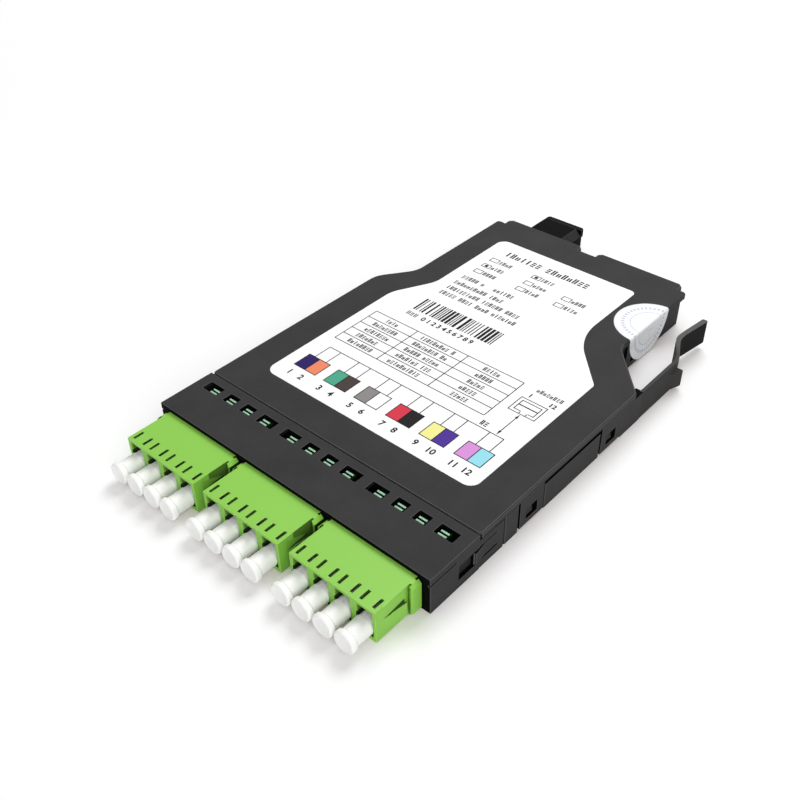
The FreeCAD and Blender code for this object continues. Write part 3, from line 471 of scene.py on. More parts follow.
def softened(node, radius_mm, cuts=(), sheen_way=None, sharp_degrees=28.0, steps=2):
    """Copy of a solid whose edges sharper than an angle are rounded to about a radius.

    Edges that end among very short ones stay sharp. Faces are parted at some places along Y, so that
    their hidden stretch can take darker painted shade, and faces turned one way are lightened as edges
    are, a painted sheen.
    """
    shape = bmesh.new()
    shape.from_mesh(nodes[node].data)
    bmesh.ops.remove_doubles(shape, verts=shape.verts, dist=weld_reach)
    bmesh.ops.dissolve_limit(shape, angle_limit=math.radians(facet_degrees), verts=shape.verts,
                             edges=shape.edges)
    for y in cuts:
        bmesh.ops.bisect_plane(shape, geom=shape.verts[:] + shape.edges[:] + shape.faces[:],
                               plane_co=(0, y, 0), plane_no=(0, 1, 0))
    mark = shape.faces.layers.float.new("edge")
    hidden = shape.faces.layers.float.new("cavity")
    limit = math.radians(sharp_degrees)
    crowded = {vertex for edge in shape.edges for vertex in edge.verts
               if edge.calc_length() < crowded_radii * radius_mm * MM}
    sharp = [edge for edge in shape.edges
             if edge.is_manifold and edge.calc_face_angle() > limit
             and not crowded.intersection(edge.verts)]
    made = bmesh.ops.bevel(shape, geom=sharp, offset=radius_mm * MM, offset_type="OFFSET",
                           segments=steps, profile=0.5, affect="EDGES", clamp_overlap=False)
    for face in made["faces"]:
        face[mark] = 1.0
    for face in shape.faces:
        if sheen_way and face.normal.angle(sheen_way) < math.radians(sheen_degrees):
            face[mark] = sheen_share
    # Each face's cavity, which the grain group paints as shade.
    triangles = face_triangles(shape)
    for face in shape.faces:
        face.smooth = True
        face[hidden] = face_cavity(triangles[face.index], face.normal)
    for face in made["faces"]:
        face[hidden] *= bevel_share
    mesh = bpy.data.meshes.new(node + "_softened")
    shape.to_mesh(mesh)
    shape.free()
    mesh.set_sharp_from_angle(angle=math.radians(smooth_degrees))
    return mesh


print("edges that meet one shorter than %.1f radii stay sharp" % crowded_radii)

# %% [markdown]
# A new piece has to know which body it rides on, what it is made of and which solid it stands for. One
# helper says all three. The visible mouldings then go through it one by one, each with an edge radius
# of its own. The adapters' faces are cut at a few depths, so that the stretch inside a port or the
# housing can take darker painted shade than the open one.

# %% Soften the visible mouldings


def add_piece(name, mesh, body, material, stands_for=()):
    """Puts a mesh in the scene as a piece that rides on a body and may stand for CAD nodes."""
    piece = bpy.data.objects.new(name, mesh)
    bpy.context.scene.collection.objects.link(piece)
    mesh.materials.append(material)
    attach(piece, body)
    if stands_for:
        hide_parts(*stands_for)
    return piece


# Faces turned these ways are lightened like edges: a painted sheen where the light falls on them.
sheen_ways = {"mpo_adapter": Vector((1, 0, 1)), "release_lever": Vector((0, 0, 1))}


def soften_node(node, radius_mm, cuts=(), finish=None):
    """Replaces one CAD node by its softened copy, in the node's own finish if none is given."""
    slot = slot_of_node[node]
    mesh = softened(node, radius_mm, cuts, sheen_ways.get(node))
    piece = add_piece(node + "_softened", mesh, body_of_node[node], finish or finishes[slot],
                      [node])
    keep_flat = piece.modifiers.new("Even faces", "WEIGHTED_NORMAL")
    keep_flat.keep_sharp = True
    return piece


edge_radius = {"base_tray": 0.1, "top_cover": 0.1, "release_lever": 0.12, "mpo_adapter": 0.1,
               "mpo_dust_cap": 0.12, "lc_adapter_left": 0.07, "lc_adapter_centre": 0.07,
               "lc_adapter_right": 0.07}
edge_radius.update({node: 0.06 for node in nodes if node.startswith("lc_connector_")})
adapter_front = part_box("lc_adapter_left")[0].y
# Depths at which the adapters' faces are cut, so that each stretch gets its own painted shade.
cut_depths = (0.5, 2.4, 4.6)
adapter_cuts = [front_y] + [adapter_front + depth * MM for depth in cut_depths]
cuts_of = {node: adapter_cuts for node in nodes if node.startswith("lc_adapter_")}
own_finish = {"release_lever": lever_black}
for node, radius in edge_radius.items():
    piece = soften_node(node, radius, cuts_of.get(node, ()), own_finish.get(node))
    print(piece.name, len(piece.data.polygons), "faces")

# %% [markdown]
# The pieces inside keep their solids: no one sees their edges. They still get their own finish.

# %% Finishes of the inner solids
finished = 0
for node, slot in slot_of_node.items():
    solid = nodes[node]
    if not solid.hide_render and slot in finishes:
        solid.data.materials.clear()
        solid.data.materials.append(finishes[slot])
        finished += 1
print("solids that keep their shape:", finished)

# %% [markdown]
# A dust plug is a turned shape: a profile of radius and depth carried round an axis. The corners
# of the profile are rounded first, each by a short parabola between its two sides.

# %% Turned shapes


def rounded_profile(corners, radius, steps=5):
    """Open polyline with each inner corner c replaced by (1-t)^2 a + 2t(1-t) c + t^2 b.

    a and b lie on the two sides, at most half a side and at most radius from the corner.
    """
    corners = np.asarray(corners, float)
    before, corner, after = corners[:-2], corners[1:-1], corners[2:]
    side_a = np.linalg.norm(before - corner, axis=1, keepdims=True)
    side_b = np.linalg.norm(after - corner, axis=1, keepdims=True)
    a = corner + (before - corner) * np.minimum(radius / side_a, 0.5)
    b = corner + (after - corner) * np.minimum(radius / side_b, 0.5)
    t = np.linspace(0, 1, steps)[None, :, None]
    arcs = (1 - t) ** 2 * a[:, None] + 2 * t * (1 - t) * corner[:, None] + t ** 2 * b[:, None]
    return np.concatenate([corners[:1], arcs.reshape(-1, 2), corners[-1:]])


def grid_quads(rows, columns):
    """Faces of a grid of rows by columns points whose last column joins the first."""
    row = np.arange(rows - 1)[:, None]
    column = np.arange(columns)[None, :]
    following = (column + 1) % columns
    quads = np.stack([row * columns + column, row * columns + following,
                      (row + 1) * columns + following, (row + 1) * columns + column], axis=-1)
    return quads.reshape(-1, 4)


turned_weld = 0.0005 * MM


def turned_mesh(name, profile, axis_x, axis_z, turns=48):
    """Profile (radius, y) carried round an axis along Y: x + r cos a, y, z + r sin a.

    Points that meet on the axis are merged, and the faces are turned outwards.
    """
    angle = np.linspace(0, 2 * np.pi, turns, endpoint=False)
    radius, depth = profile[:, :1], profile[:, 1:]
    points = np.stack([axis_x + radius * np.cos(angle), depth + 0 * angle,
                       axis_z + radius * np.sin(angle)], axis=-1).reshape(-1, 3)
    mesh = bpy.data.meshes.new(name)
    mesh.from_pydata(points, [], grid_quads(len(profile), turns))
    shape = bmesh.new()
    shape.from_mesh(mesh)
    bmesh.ops.remove_doubles(shape, verts=shape.verts, dist=turned_weld)
    bmesh.ops.recalc_face_normals(shape, faces=shape.faces)
    for face in shape.faces:
        face.smooth = True
    shape.to_mesh(mesh)
    shape.free()
    return mesh


print("turned shapes are welded within %.4f mm" % (turned_weld / MM))

# %% [markdown]
# The plug itself is a hollow nose that sits in the port, a shaft, a slight neck, and a rim to pull
# it out by, with a shallow dimple in its end. Its length and place come from the solid's own box.

# %% Dust plugs
plug_count = 12
plug_shaft, plug_neck = 2.46 * MM, 2.38 * MM
plug_rim_length, rim_share = 1.35 * MM, 0.965
plug_wall, plug_nose, plug_insert = 0.7 * MM, 2.25 * MM, 5.5 * MM
neck_length = 0.5 * MM
chamfer_length, chamfer_width = 0.3 * MM, 0.22 * MM
dimple_lip, dimple_floor, dimple_depth = 0.75 * MM, 0.95 * MM, 0.1 * MM
corner_radius = 0.11 * MM
for number in range(1, plug_count + 1):
    node = "dust_plug_%02d" % number
    low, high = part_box(node)
    rim = rim_share * (high.z - low.z) / 2
    shoulder = high.y - plug_insert
    end = low.y
    profile = rounded_profile([
        (0, shoulder), (plug_nose - plug_wall, shoulder), (plug_nose - plug_wall, high.y),
        (plug_nose, high.y), (plug_nose, shoulder), (plug_shaft, shoulder),
        (plug_neck, end + plug_rim_length + neck_length), (rim, end + plug_rim_length),
        (rim, end + chamfer_length), (rim - chamfer_width, end), (rim - dimple_lip, end),
        (rim - dimple_floor, end + dimple_depth), (0, end + dimple_depth)], corner_radius)
    mesh = turned_mesh(node + "_turned", profile, (low.x + high.x) / 2, (low.z + high.z) / 2)
    add_piece(node + "_turned", mesh, body_of_node[node], finishes["plug_white"], [node])
print("dust plugs:", plug_count)

# %% [markdown]
# The label is a sheet of coated paper, and so is the round seal. Paper is white with crossed
# fibres, which a fine noise and a slow one give. Both sheets use it, so it is a node group. The
# label's solid stays, and gets this finish.

# %% Paper
fibres_per_metre, clouds_per_metre = 2600.0, 120.0
fibre_bump, fibre_depth = 0.08, 0.01 * MM


def make_paper_fibre():
    """Paper: Tint is the paper's colour changed a little by fibres; Height is the same fibres."""
    group, given, out = new_group("Paper fibre", [("Paper", COLOUR, (0.9, 0.9, 0.9, 1)),
                                                  ("Mottle", FLOAT, 0.03)],
                                  [("Tint", COLOUR), ("Height", FLOAT)])
    fibre = object_noise(group, fibres_per_metre, 4.0, 0.7)
    cloud = object_noise(group, clouds_per_metre, 2.0, 0.5)
    swing = math_node(group, "SUBTRACT", math_node(group, "ADD", fibre, cloud), 1.0)
    shade = math_node(group, "MULTIPLY_ADD", swing, given.outputs["Mottle"], 1.0)
    tint = scaled_colour(group, given.outputs["Paper"], shade)
    group.links.new(tint, out.inputs["Tint"])
    group.links.new(fibre, out.inputs["Height"])
    return group


paper_fibre = make_paper_fibre()


def paper_material(name, colour, roughness):
    """Coated paper; returns the material, its tree, its shader and its paper colour socket."""
    material, tree, shader = plain_material(name)
    group = tree.nodes.new("ShaderNodeGroup")
    group.node_tree = paper_fibre
    group.inputs["Paper"].default_value = (*colour, 1)
    shader.inputs["Roughness"].default_value = roughness
    shader.inputs["Specular IOR Level"].default_value = 0.35
    tree.links.new(group.outputs["Tint"], shader.inputs["Base Color"])
    add_bump(tree, shader, group.outputs["Height"], fibre_bump, fibre_depth)
    return material, tree, shader, group.outputs["Tint"]


label_paper = paper_material("Label paper", (0.95, 0.95, 0.955), 0.5)[0]
nodes["label"].data.materials.clear()
nodes["label"].data.materials.append(label_paper)
print("group:", paper_fibre.name, "in", label_paper.name)

# %% [markdown]
# The print lies on the label as a thin layer of flat fields. An image would do it too, but flat
# fields stay sharp from near by. Each field has its colour in an attribute named ink, so that one
# ink material serves them all.

# %% Ink and printed fields
ink_black = (0.005, 0.005, 0.006)
print_height, colour_height = label_top + 0.01 * MM, label_top + 0.006 * MM
ink_grain_per_metre, ink_fade = 1500.0, 0.015
faded_ink = (0.7, 0.7, 0.7, 1)
ink, ink_tree, ink_shader = plain_material("Printing ink")
ink_grain = object_noise(ink_tree, ink_grain_per_metre, 2.0, 0.6)
fade_share = math_node(ink_tree, "MULTIPLY", ink_grain, ink_fade)
ink_tint = mixed_colour(ink_tree, fade_share, attribute_node(ink_tree, "ink").outputs["Color"],
                        faded_ink)
ink_tree.links.new(ink_tint, ink_shader.inputs["Base Color"])
ink_shader.inputs["Roughness"].default_value = 0.5
ink_shader.inputs["Specular IOR Level"].default_value = 0.05


def field_mesh(name, rectangles, colours, z):
    """Flat rectangles x0, x1, y0, y1 in label millimetres, each with a colour, as one mesh."""
    x0, x1, y0, y1 = np.asarray(rectangles, float).T
    x0, x1 = x0 * MM, x1 * MM
    y0, y1 = from_front(y0), from_front(y1)
    z = np.full_like(x0, z)
    points = np.stack([np.stack([x0, y0, z], 1), np.stack([x1, y0, z], 1),
                       np.stack([x1, y1, z], 1), np.stack([x0, y1, z], 1)], axis=1).reshape(-1, 3)
    mesh = bpy.data.meshes.new(name)
    mesh.from_pydata(points, [], np.arange(len(points)).reshape(-1, 4))
    paint = mesh.attributes.new("ink", "FLOAT_COLOR", "FACE")
    rgba = np.ones((len(x0), 4))
    rgba[:, :3] = colours
    paint.data.foreach_set("color", rgba.ravel())
    return mesh


print("ink lies %.3f mm over the label" % ((print_height - label_top) / MM))

# %% [markdown]
# All the black print but the numbers is made of upright and level bars, so its layout is a list
# of rectangles in millimetres. Rows of short bars stand for lines of writing. They come from seeded
# random draws, so that they look irregular and yet are the same in every run.

# %% Bars and rows of writing
thin = 0.27
mark_share, short_share = 0.72, 0.7
dash_places = (0, 0.35, 0.7)
kind_chances = (0.1, 0.35, 0.3, 0.25)
word_steps = (5, 11)


def frame_bars(x0, x1, y0, y1):
    """Four thin bars that outline a box, each as x0, x1, y0, y1."""
    return np.array([(x0, x1, y0, y0 + thin), (x0, x1, y1 - thin, y1),
                     (x0, x0 + thin, y0, y1), (x1 - thin, x1, y0, y1)])


def upright(x, y0, y1):
    """One thin upright line, as x0, x1, y0, y1."""
    return np.array([(x - thin / 2, x + thin / 2, y0, y1)])


def level(x0, x1, y):
    """One thin level line, as x0, x1, y0, y1."""
    return np.array([(x0, x1, y - thin / 2, y + thin / 2)])


def writing_bars(x0, x1, y0, height, seed, weight=0.19, pitch=0.62):
    """Plain bars, which spell nothing, in place of a line of writing.

    A mark is one tall stem, two tall stems, two short stems, or three dashes. Marks stand at an
    even step, pitch times the height, and one is left out every five to ten steps.
    """
    draw = np.random.default_rng(seed)
    step = pitch * height
    count = max(round((x1 - x0) / step), 1)
    word_ends = np.cumsum(draw.integers(*word_steps, count))
    kept = ~np.isin(np.arange(count), word_ends)
    left = (x0 + np.arange(count) * step)[kept]
    line = weight * height
    width = mark_share * step

    def stroke(x_share, y_share, across, up):
        """One bar at each mark, moved from its foot by shares of the mark's width and height."""
        x = left + x_share * width
        y = np.full_like(left, y0 + y_share * height)
        return np.stack([x, x + across, y, y + up], axis=1)

    middle, far = (1 - line / width) / 2, 1 - line / width
    tall_stem = stroke(middle, 0, line, height)
    tall_pair = [stroke(x, 0, line, height) for x in (0, far)]
    short_pair = [stroke(x, 0, line, short_share * height) for x in (0, far)]
    dashes = [stroke(0, y, width, line) for y in dash_places]
    kinds = [[tall_stem], tall_pair, short_pair, dashes]
    chosen = draw.choice(len(kinds), len(left), p=kind_chances)
    return np.concatenate([bar[chosen == k] for k, bars in enumerate(kinds) for bar in bars])


print("thin lines are %.2f mm" % thin)

# %% [markdown]
# The rear of the label holds a heading, a set of tick boxes and a few lines.

# %% Label print: heading, boxes and lines
rows = []

title_left, title_right, title_base, title_height = -21.7, 8.0, 113.0, 2.75
title_seed = 9
rows.append(writing_bars(title_left, title_right, title_base, title_height, title_seed, weight=0.2,
                         pitch=0.68))

box_width, box_height, box_gap, box_text = 3.0, 2.1, 0.4, 4.2
box_columns = (-23.6, -8.2, 5.15)
box_rows = (107.8, 103.75, 99.75)
box_seed, box_text_lift, box_text_height = 10, 0.1, 1.85
ticked, no_box = {(0, 1), (1, 0)}, (2, 0)
tick = (0.9, 2.0, 0.45, 1.6)
for i, x in enumerate(box_columns):
    for j, y in enumerate(box_rows):
        if (i, j) == no_box:
            continue
        text_left = x + box_width + box_gap
        rows.append(frame_bars(x, x + box_width, y, y + box_height))
        rows.append(writing_bars(text_left, text_left + box_text, y + box_text_lift,
                                 box_text_height, box_seed + 3 * i + j))
        if (i, j) in ticked:
            rows.append(np.add((x, x, y, y), tick)[None])

writing_lines = [(-23.9, -15.6, 94.7), (-12.3, -5.8, 94.7), (-23.9, -5.9, 91.0),
                 (-23.9, 2.5, 87.5), (-23.9, 3.4, 84.2)]
line_height, line_seed = 1.9, 30
for number, (x0, x1, y) in enumerate(writing_lines):
    rows.append(writing_bars(x0, x1, y, line_height, line_seed + number))
print("rear of the label:", sum(map(len, rows)), "bars")

# %% [markdown]
# In the middle lie a bar pattern, whose widths are random and code nothing, and a ruled table.

# %% Label print: bar pattern and table
bar_left, bar_right, bar_low, bar_high = -24.0, 3.55, 73.0, 79.6
bar_count, bar_seed = 27, 8
bar_widths = [0.4, 0.4, 0.7, 1.0]
draw = np.random.default_rng(bar_seed)
pair_widths = draw.choice(bar_widths, (bar_count, 2))
edges = np.concatenate([[0], np.cumsum(pair_widths.ravel())])
edges = bar_left + edges * (bar_right - bar_left) / edges[-2]
rows.append(np.stack([edges[0:-1:2], edges[1::2], np.full(bar_count, bar_low),
                      np.full(bar_count, bar_high)], axis=1))

table_columns = (-30.85, -15.45, 2.3, 20.45)
table_low, table_high, table_rows = 48.6, 65.4, 5
row_height = (table_high - table_low) / table_rows
for x in table_columns:
    rows.append(upright(x, table_low, table_high))
for j in range(table_rows + 1):
    rows.append(level(table_columns[0], table_columns[-1], table_low + j * row_height))
cell_text = (8.2, 12.4, 5.2)
cell_lift, cell_height, cell_seed = 0.8, 1.75, 50
short_cell, short_cell_share = (0, table_rows - 1), 0.55
for i, length in enumerate(cell_text):
    middle = (table_columns[i] + table_columns[i + 1]) / 2
    for j in range(table_rows):
        share = short_cell_share if (i, j) == short_cell else 1.0
        half = length * share / 2
        rows.append(writing_bars(middle - half, middle + half,
                                 table_low + j * row_height + cell_lift, cell_height,
                                 cell_seed + 5 * i + j))
print("with pattern and table:", sum(map(len, rows)), "bars")

# %% [markdown]
# The front of the label is a wiring drawing: six pairs of fields under a bracket, an outline of
# the wide port, and a double arrow between them. The arrow's heads are stacks of narrowing bars.

# %% Label print: wiring drawing
pair_count = 6
pair_left, pair_step, pair_width = -30.63, 10.833, 8.0
pair_low, pair_high = 32.85, 38.9
bracket_y = 44.5
tick_offsets = (2.05, 6.15)
for k in range(pair_count):
    x = pair_left + k * pair_step
    rows.append(frame_bars(x, x + pair_width, pair_low, pair_high))
    rows.append(upright(x + pair_width / 2, pair_low, pair_high))
    for offset in tick_offsets:
        rows.append(upright(x + offset, pair_high, bracket_y))
rows.append(level(pair_left + tick_offsets[0],
                  pair_left + (pair_count - 1) * pair_step + tick_offsets[1], bracket_y))

port = (23.15, 31.25, 54.5, 60.65)
port_inner = (24.2, 30.25, 55.55, 59.65)
key_left, key_right, key_depth = 26.3, 28.5, 0.7
ferrule_low, ferrule_high = 57.5, 57.9
rows.append(frame_bars(*port))
rows.append(frame_bars(*port_inner)[1:])
rows.append(np.array([
    (port_inner[0], key_left, port_inner[2], port_inner[2] + thin),
    (key_right, port_inner[1], port_inner[2], port_inner[2] + thin),
    (key_left, key_left + thin, port_inner[2] - key_depth, port_inner[2]),
    (key_right - thin, key_right, port_inner[2] - key_depth, port_inner[2]),
    (port_inner[0], port_inner[1], ferrule_low, ferrule_high)]))

arrow_x, arrow_low, arrow_high, arrow_head = 27.15, 45.0, 54.2, 1.5
head_half, head_bar, head_bars = 0.36, 0.3, 5
rows.append(upright(arrow_x, arrow_low, arrow_high))
for step in np.linspace(0, 1, head_bars + 1)[:-1]:
    half = head_half * (1 - step)
    inset = (1 - step) * arrow_head
    rows.append(np.array([
        (arrow_x - half, arrow_x + half, arrow_low + inset - head_bar, arrow_low + inset),
        (arrow_x - half, arrow_x + half, arrow_high - inset, arrow_high - inset + head_bar)]))
rows.append(writing_bars(24.8, 32.4, 64.3, 1.6, 80))
rows.append(writing_bars(21.5, 24.2, 45.3, 1.9, 81))
rows.append(writing_bars(-24.0, -20.6, 69.9, 1.75, 82, pitch=0.75))

print_rows = np.concatenate(rows)
add_piece("label_print", field_mesh("label_print", print_rows, np.array(ink_black), print_height),
          "housing", ink)
print("label print:", len(print_rows), "bars")

# %% [markdown]
# The twelve fibres have a colour code that the whole trade shares. Six pairs of fields show it.

# %% Label print: colour fields
code_colours = [(0.022, 0.011, 0.12), (0.85, 0.26, 0.135), (0.075, 0.39, 0.255),
                (0.062, 0.047, 0.041), (0.27, 0.25, 0.25), (0.98, 0.98, 0.98),
                (0.68, 0.042, 0.075), (0.008, 0.008, 0.009), (0.9, 0.87, 0.31),
                (0.078, 0.031, 0.31), (0.70, 0.30, 0.70), (0.32, 0.74, 0.86)]
fields = []
for k in range(pair_count):
    x = pair_left + k * pair_step + thin
    half = pair_width / 2 - thin
    fields += [(x, x + half, pair_low + thin, pair_high - thin),
               (x + half, x + 2 * half, pair_low + thin, pair_high - thin)]
colour_mesh = field_mesh("label_colour_fields", fields, np.array(code_colours), colour_height)
add_piece("label_colour_fields", colour_mesh, "housing", ink)
print("colour fields:", len(fields))

# %% [markdown]
# Plain numbers count the fibres, and a run of digits stands under the bar pattern. Blender's own
# font draws them. A text is turned into a mesh before it is moved, so that its place is in the mesh.

# %% Label print: plain numbers
digit_share, digit_bold = 0.7, 0.08 * MM


def number_mesh(words):
    """Plain numbers as one flat mesh; words are (text, x, y, height, spacing), in label mm."""
    shape = bmesh.new()
    for text, x, y, height, spacing in words:
        curve = bpy.data.curves.new("number", "FONT")
        curve.body = text
        curve.size = height * MM / digit_share
        curve.space_character = spacing
        curve.offset = digit_bold
        curve.resolution_u = 3
        holder = bpy.data.objects.new("number", curve)
        bpy.context.scene.collection.objects.link(holder)
        bpy.context.view_layer.update()
        flat = bpy.data.meshes.new_from_object(holder)
        flat.transform(Matrix.Translation((x * MM, from_front(y), print_height)))
        shape.from_mesh(flat)
        bpy.data.objects.remove(holder)
        bpy.data.meshes.remove(flat)
        bpy.data.curves.remove(curve)
    mesh = bpy.data.meshes.new("label_numbers")
    shape.to_mesh(mesh)
    shape.free()
    paint = mesh.attributes.new("ink", "FLOAT_COLOR", "FACE")
    paint.data.foreach_set("color", np.tile((*ink_black, 1.0), len(mesh.polygons)))
    return mesh


caption_y, caption_height, caption_offsets = 29.2, 1.9, (0.9, 4.9)
captions = []
for k in range(pair_count):
    x = pair_left + k * pair_step
    for side, offset in enumerate(caption_offsets, start=1):
        captions.append((str(2 * k + side), x + offset, caption_y, caption_height, 1.0))
captions += [("1", 24.2, 61.5, 1.5, 1.0), ("12", 30.3, 61.5, 1.5, 1.0),
             ("0123456789", -18.7, 69.9, 1.75, 1.5)]
add_piece("label_numbers", number_mesh(captions), "housing", ink)
print("numbers:", len(captions))

# %% [markdown]
# The seal is a paper disc stuck half on the cover and half folded down over its edge, so that the
# cover can't be opened unseen. It is a disc in polar steps, bent about the edge line: flat, then a
# short round fold, then a flap that hangs down the wall.

# %% Round seal: the folded disc
seal_low, seal_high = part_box("seal_sticker")
seal_radius = (seal_high.y - seal_low.y) / 2
seal_y = (seal_low.y + seal_high.y) / 2
paper_lift = 0.06 * MM
fold_x = seal_high.x - paper_lift
fold_radius = 0.45 * MM
overhang = seal_low.x + seal_radius - fold_x


def folded(across, along):
    """Disc point (across, along) bent over the edge, which lies at across = -overhang.

    Up to the fold it is flat; through the fold it follows a quarter of a circle of the fold
    radius; past it, it hangs straight down.
    """
    past_start = across + overhang + fold_radius
    angle = np.clip(past_start / fold_radius, 0, np.pi / 2)
    hanging = np.maximum(past_start - fold_radius * np.pi / 2, 0)
    x = fold_x - fold_radius + np.minimum(past_start, 0) + fold_radius * np.sin(angle)
    z = cover_top + paper_lift - fold_radius * (1 - np.cos(angle)) - hanging
    return np.stack([x, seal_y + along, z], axis=-1)


rings, spokes = 40, 96
ring = np.linspace(0, 1, rings)[:, None] * seal_radius
turn = np.linspace(0, 2 * np.pi, spokes, endpoint=False)[None, :]
across, along = ring * np.cos(turn), ring * np.sin(turn)
across = np.minimum(across, cover_top - seal_low.z - overhang)
seal_mesh = bpy.data.meshes.new("seal")
seal_mesh.from_pydata(folded(across, along).reshape(-1, 3), [], grid_quads(rings, spokes))
disc_map = seal_mesh.uv_layers.new(name="disc")
corner_points = np.zeros(len(seal_mesh.loops), int)
seal_mesh.loops.foreach_get("vertex_index", corner_points)
flat_disc = np.stack([across, along], axis=-1).reshape(-1, 2) / seal_radius
disc_map.data.foreach_set("uv", flat_disc[corner_points].ravel())
seal_mesh.polygons.foreach_set("use_smooth", np.ones(len(seal_mesh.polygons), bool))
print("seal: radius %.1f mm" % (seal_radius / MM))

# %% [markdown]
# A pale blue ring of dashes and a thin circle decorate the seal. They follow the flat disc, which
# is kept as a UV map, so that they bend over the edge with the paper. The folded flap is a little
# crumpled, and a second bump that grows past the fold shows it.

# %% Round seal: its paper
dash_count, dash_share = 42, 0.55
band_middle, band_half = 0.76, 0.045
circle_middle, circle_half = 0.56, 0.011
mark_colour, mark_strength = (0.40, 0.46, 0.64, 1), 0.75
crumple_per_metre, crumple_depth, crumple_limit = 420.0, 4.0 * MM, 0.2
paper_thickness = 0.08 * MM
seal_paper, seal_tree, seal_shader, seal_tint = paper_material("Seal paper", (0.86, 0.87, 0.88), 0.42)
disc_uv = seal_tree.nodes.new("ShaderNodeUVMap")
disc_uv.uv_map = "disc"
split = seal_tree.nodes.new("ShaderNodeSeparateXYZ")
seal_tree.links.new(disc_uv.outputs["UV"], split.inputs[0])
reach = vector_length(seal_tree, disc_uv.outputs["UV"])
angle = math_node(seal_tree, "ARCTAN2", split.outputs["Y"], split.outputs["X"])
dash_turns = math_node(seal_tree, "MULTIPLY", angle, dash_count / (2 * math.pi))
dashes = math_node(seal_tree, "LESS_THAN", math_node(seal_tree, "FRACT", dash_turns), dash_share)
band = math_node(seal_tree, "COMPARE", reach, band_middle, band_half)
circle = math_node(seal_tree, "COMPARE", reach, circle_middle, circle_half)
marks = math_node(seal_tree, "MAXIMUM", math_node(seal_tree, "MULTIPLY", dashes, band), circle)
mark_mix = math_node(seal_tree, "MULTIPLY", marks, mark_strength)
seal_tree.links.new(mixed_colour(seal_tree, mark_mix, seal_tint, mark_colour),
                    seal_shader.inputs["Base Color"])

past_fold = math_node(seal_tree, "SUBTRACT", split.outputs["X"], -overhang / seal_radius)
on_flap = math_node(seal_tree, "MINIMUM", math_node(seal_tree, "MAXIMUM", past_fold, 0.0),
                    crumple_limit)
crumple_noise = object_noise(seal_tree, crumple_per_metre, 2.0, 0.5)
crumple = math_node(seal_tree, "MULTIPLY", crumple_noise, on_flap)
add_bump(seal_tree, seal_shader, crumple, 1.0, crumple_depth)
seal = add_piece("seal_paper", seal_mesh, "housing", seal_paper, ["seal_sticker"])
skin = seal.modifiers.new("Paper thickness", "SOLIDIFY")
skin.thickness = paper_thickness
skin.offset = 0.0
print("seal: %d dashes on paper of %.2f mm" % (dash_count, paper_thickness / MM))

# %% [markdown]
# The studio is a white table with white all round. For rays that show the background, the table
# gives off a little light of its own, which goes away close under the object and leaves a warm
# contact shade there, and it fades to pure white further out. It still keeps the object's shadow.

# %% Table
table_half = 3.0
table_mesh = bpy.data.meshes.new("table")
table_mesh.from_pydata([(-table_half, -table_half, 0), (table_half, -table_half, 0),
                        (table_half, table_half, 0), (-table_half, table_half, 0)], [], [(0, 1, 2, 3)])
table = bpy.data.objects.new("table", table_mesh)
bpy.context.scene.collection.objects.link(table)


def background_rays(tree):
    """One for rays that show the background: from the camera, a reflection or a clear piece."""
    rays = tree.nodes.new("ShaderNodeLightPath")
    seen = math_node(tree, "MAXIMUM", rays.outputs["Is Camera Ray"], rays.outputs["Is Glossy Ray"])
    return math_node(tree, "MAXIMUM", seen, rays.outputs["Is Transmission Ray"])


table_unseen, table_lit = (0.88, 0.88, 0.88, 1), (0.88, 0.88, 0.875, 1)
table_glow, contact_shade = (0.13, 0.13, 0.135, 1), (0.05, 0.01, 0.0, 1)
contact_reach = 9 * MM
fade_start, fade_end = 0.16, 0.45
no_colour, pure_white = (0, 0, 0, 1), (1, 1, 1, 1)
table_top, table_tree, table_shader = plain_material("White table")
table_seen = background_rays(table_tree)
table_white = mixed_colour(table_tree, table_seen, table_unseen, table_lit)
contact = table_tree.nodes.new("ShaderNodeAmbientOcclusion")
contact.inputs["Distance"].default_value = contact_reach
own_light = mixed_colour(table_tree, contact.outputs["AO"], contact_shade, table_glow)
table_place = table_tree.nodes.new("ShaderNodeTexCoord")
far_out = smooth_step(table_tree, vector_length(table_tree, table_place.outputs["Object"]),
                      fade_start, fade_end)
faded = math_node(table_tree, "MULTIPLY", far_out, table_seen)
for label, near, far in (("Base Color", table_white, no_colour),
                         ("Emission Color", own_light, pure_white)):
    table_tree.links.new(mixed_colour(table_tree, faded, near, far), table_shader.inputs[label])
table_tree.links.new(table_seen, table_shader.inputs["Emission Strength"])
table_shader.inputs["Roughness"].default_value = 0.9
table_shader.inputs["Specular IOR Level"].default_value = 0.0
table_mesh.materials.append(table_top)
print("table: fades from %.2f to %.2f m" % (fade_start, fade_end))

# %% [markdown]
# Two large soft lamps light the object, one from above and behind and one from the front right,
# and the white surround fills the shadows. Their level is plain: the label's paper renders about
# as it is written. Rays that show the background see the surround at full white.

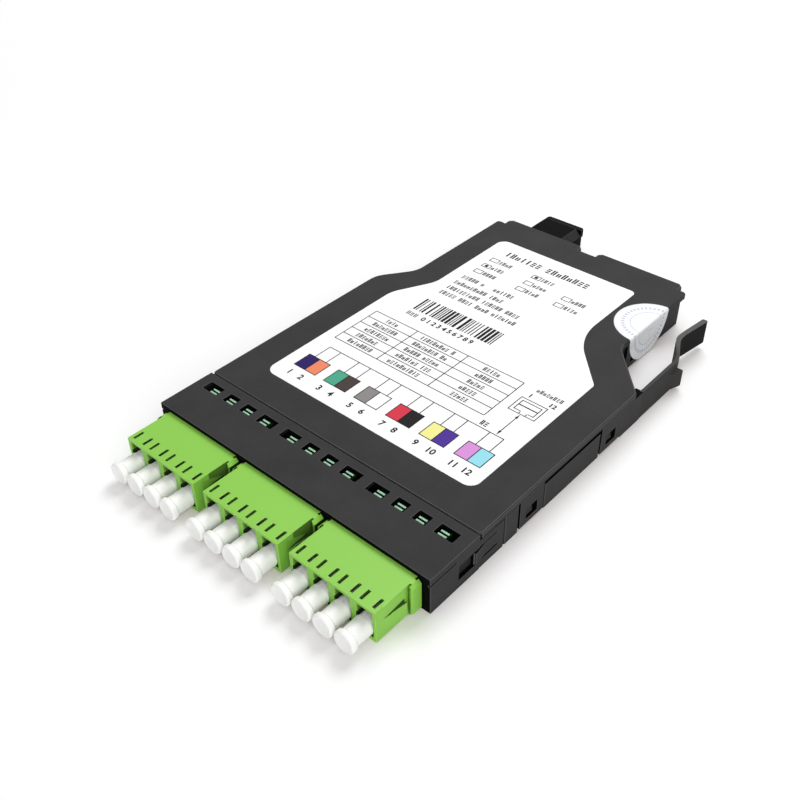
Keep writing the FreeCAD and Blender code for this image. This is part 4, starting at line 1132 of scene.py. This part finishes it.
# %% Lamps and white surround
ambient = 0.3
world = bpy.data.worlds.new("White surround")
bpy.context.scene.world = world
world.use_nodes = True
sky = world.node_tree
surround = sky.nodes["Background"]
surround.inputs["Color"].default_value = pure_white
strength = math_node(sky, "MULTIPLY_ADD", background_rays(sky), 1.0 - ambient, ambient)
sky.links.new(strength, surround.inputs["Strength"])


def soft_lamp(name, place, size, power):
    """Square area lamp at a place, turned towards the origin; power is in watts."""
    light = bpy.data.lights.new(name, "AREA")
    light.energy = power
    light.size = size
    lamp = bpy.data.objects.new(name, light)
    lamp.location = place
    lamp.rotation_euler = (-Vector(place)).to_track_quat("-Z", "Y").to_euler()
    bpy.context.scene.collection.objects.link(lamp)


soft_lamp("overhead lamp", place=(-0.15, 0.57, 0.79), size=0.55, power=6.6)
soft_lamp("front lamp", place=(0.7, -0.62, 0.62), size=0.9, power=6.9)

# %% [markdown]
# The camera stands in front of the right corner, looking down. Its place was found by matching
# the solids' corners to the photograph, and is given as an aim point, a distance and three angles.

# %% Camera
view_azimuth, view_elevation, view_roll = (math.radians(a) for a in (42.56, 38.814, -1.36))
lens_mm, sensor_mm = 43.641, 36.0
along_right, along_up, distance = 26.855 * MM, 26.955 * MM, 227.364 * MM
nearest, farthest = 0.01, 20.0
right = Vector((math.cos(view_azimuth), math.sin(view_azimuth), 0))
back = Vector((math.sin(view_azimuth) * math.cos(view_elevation),
               -math.cos(view_azimuth) * math.cos(view_elevation), math.sin(view_elevation)))
up = back.cross(right)
rolled_right = math.cos(view_roll) * right + math.sin(view_roll) * up
rolled_up = math.cos(view_roll) * up - math.sin(view_roll) * right
lens = bpy.data.cameras.new("camera")
lens.sensor_width = sensor_mm
lens.lens = lens_mm
lens.clip_start = nearest
lens.clip_end = farthest
camera = bpy.data.objects.new("camera", lens)
place = along_right * rolled_right + along_up * rolled_up + distance * back + Vector((0, front_y, 0))
turned = Matrix((rolled_right, rolled_up, back)).transposed()
camera.matrix_world = Matrix.Translation(place) @ turned.to_4x4()
bpy.context.scene.collection.objects.link(camera)
bpy.context.scene.camera = camera
bpy.context.scene.view_settings.view_transform = "Standard"
print("camera: %.0f mm from its aim" % (distance / MM))
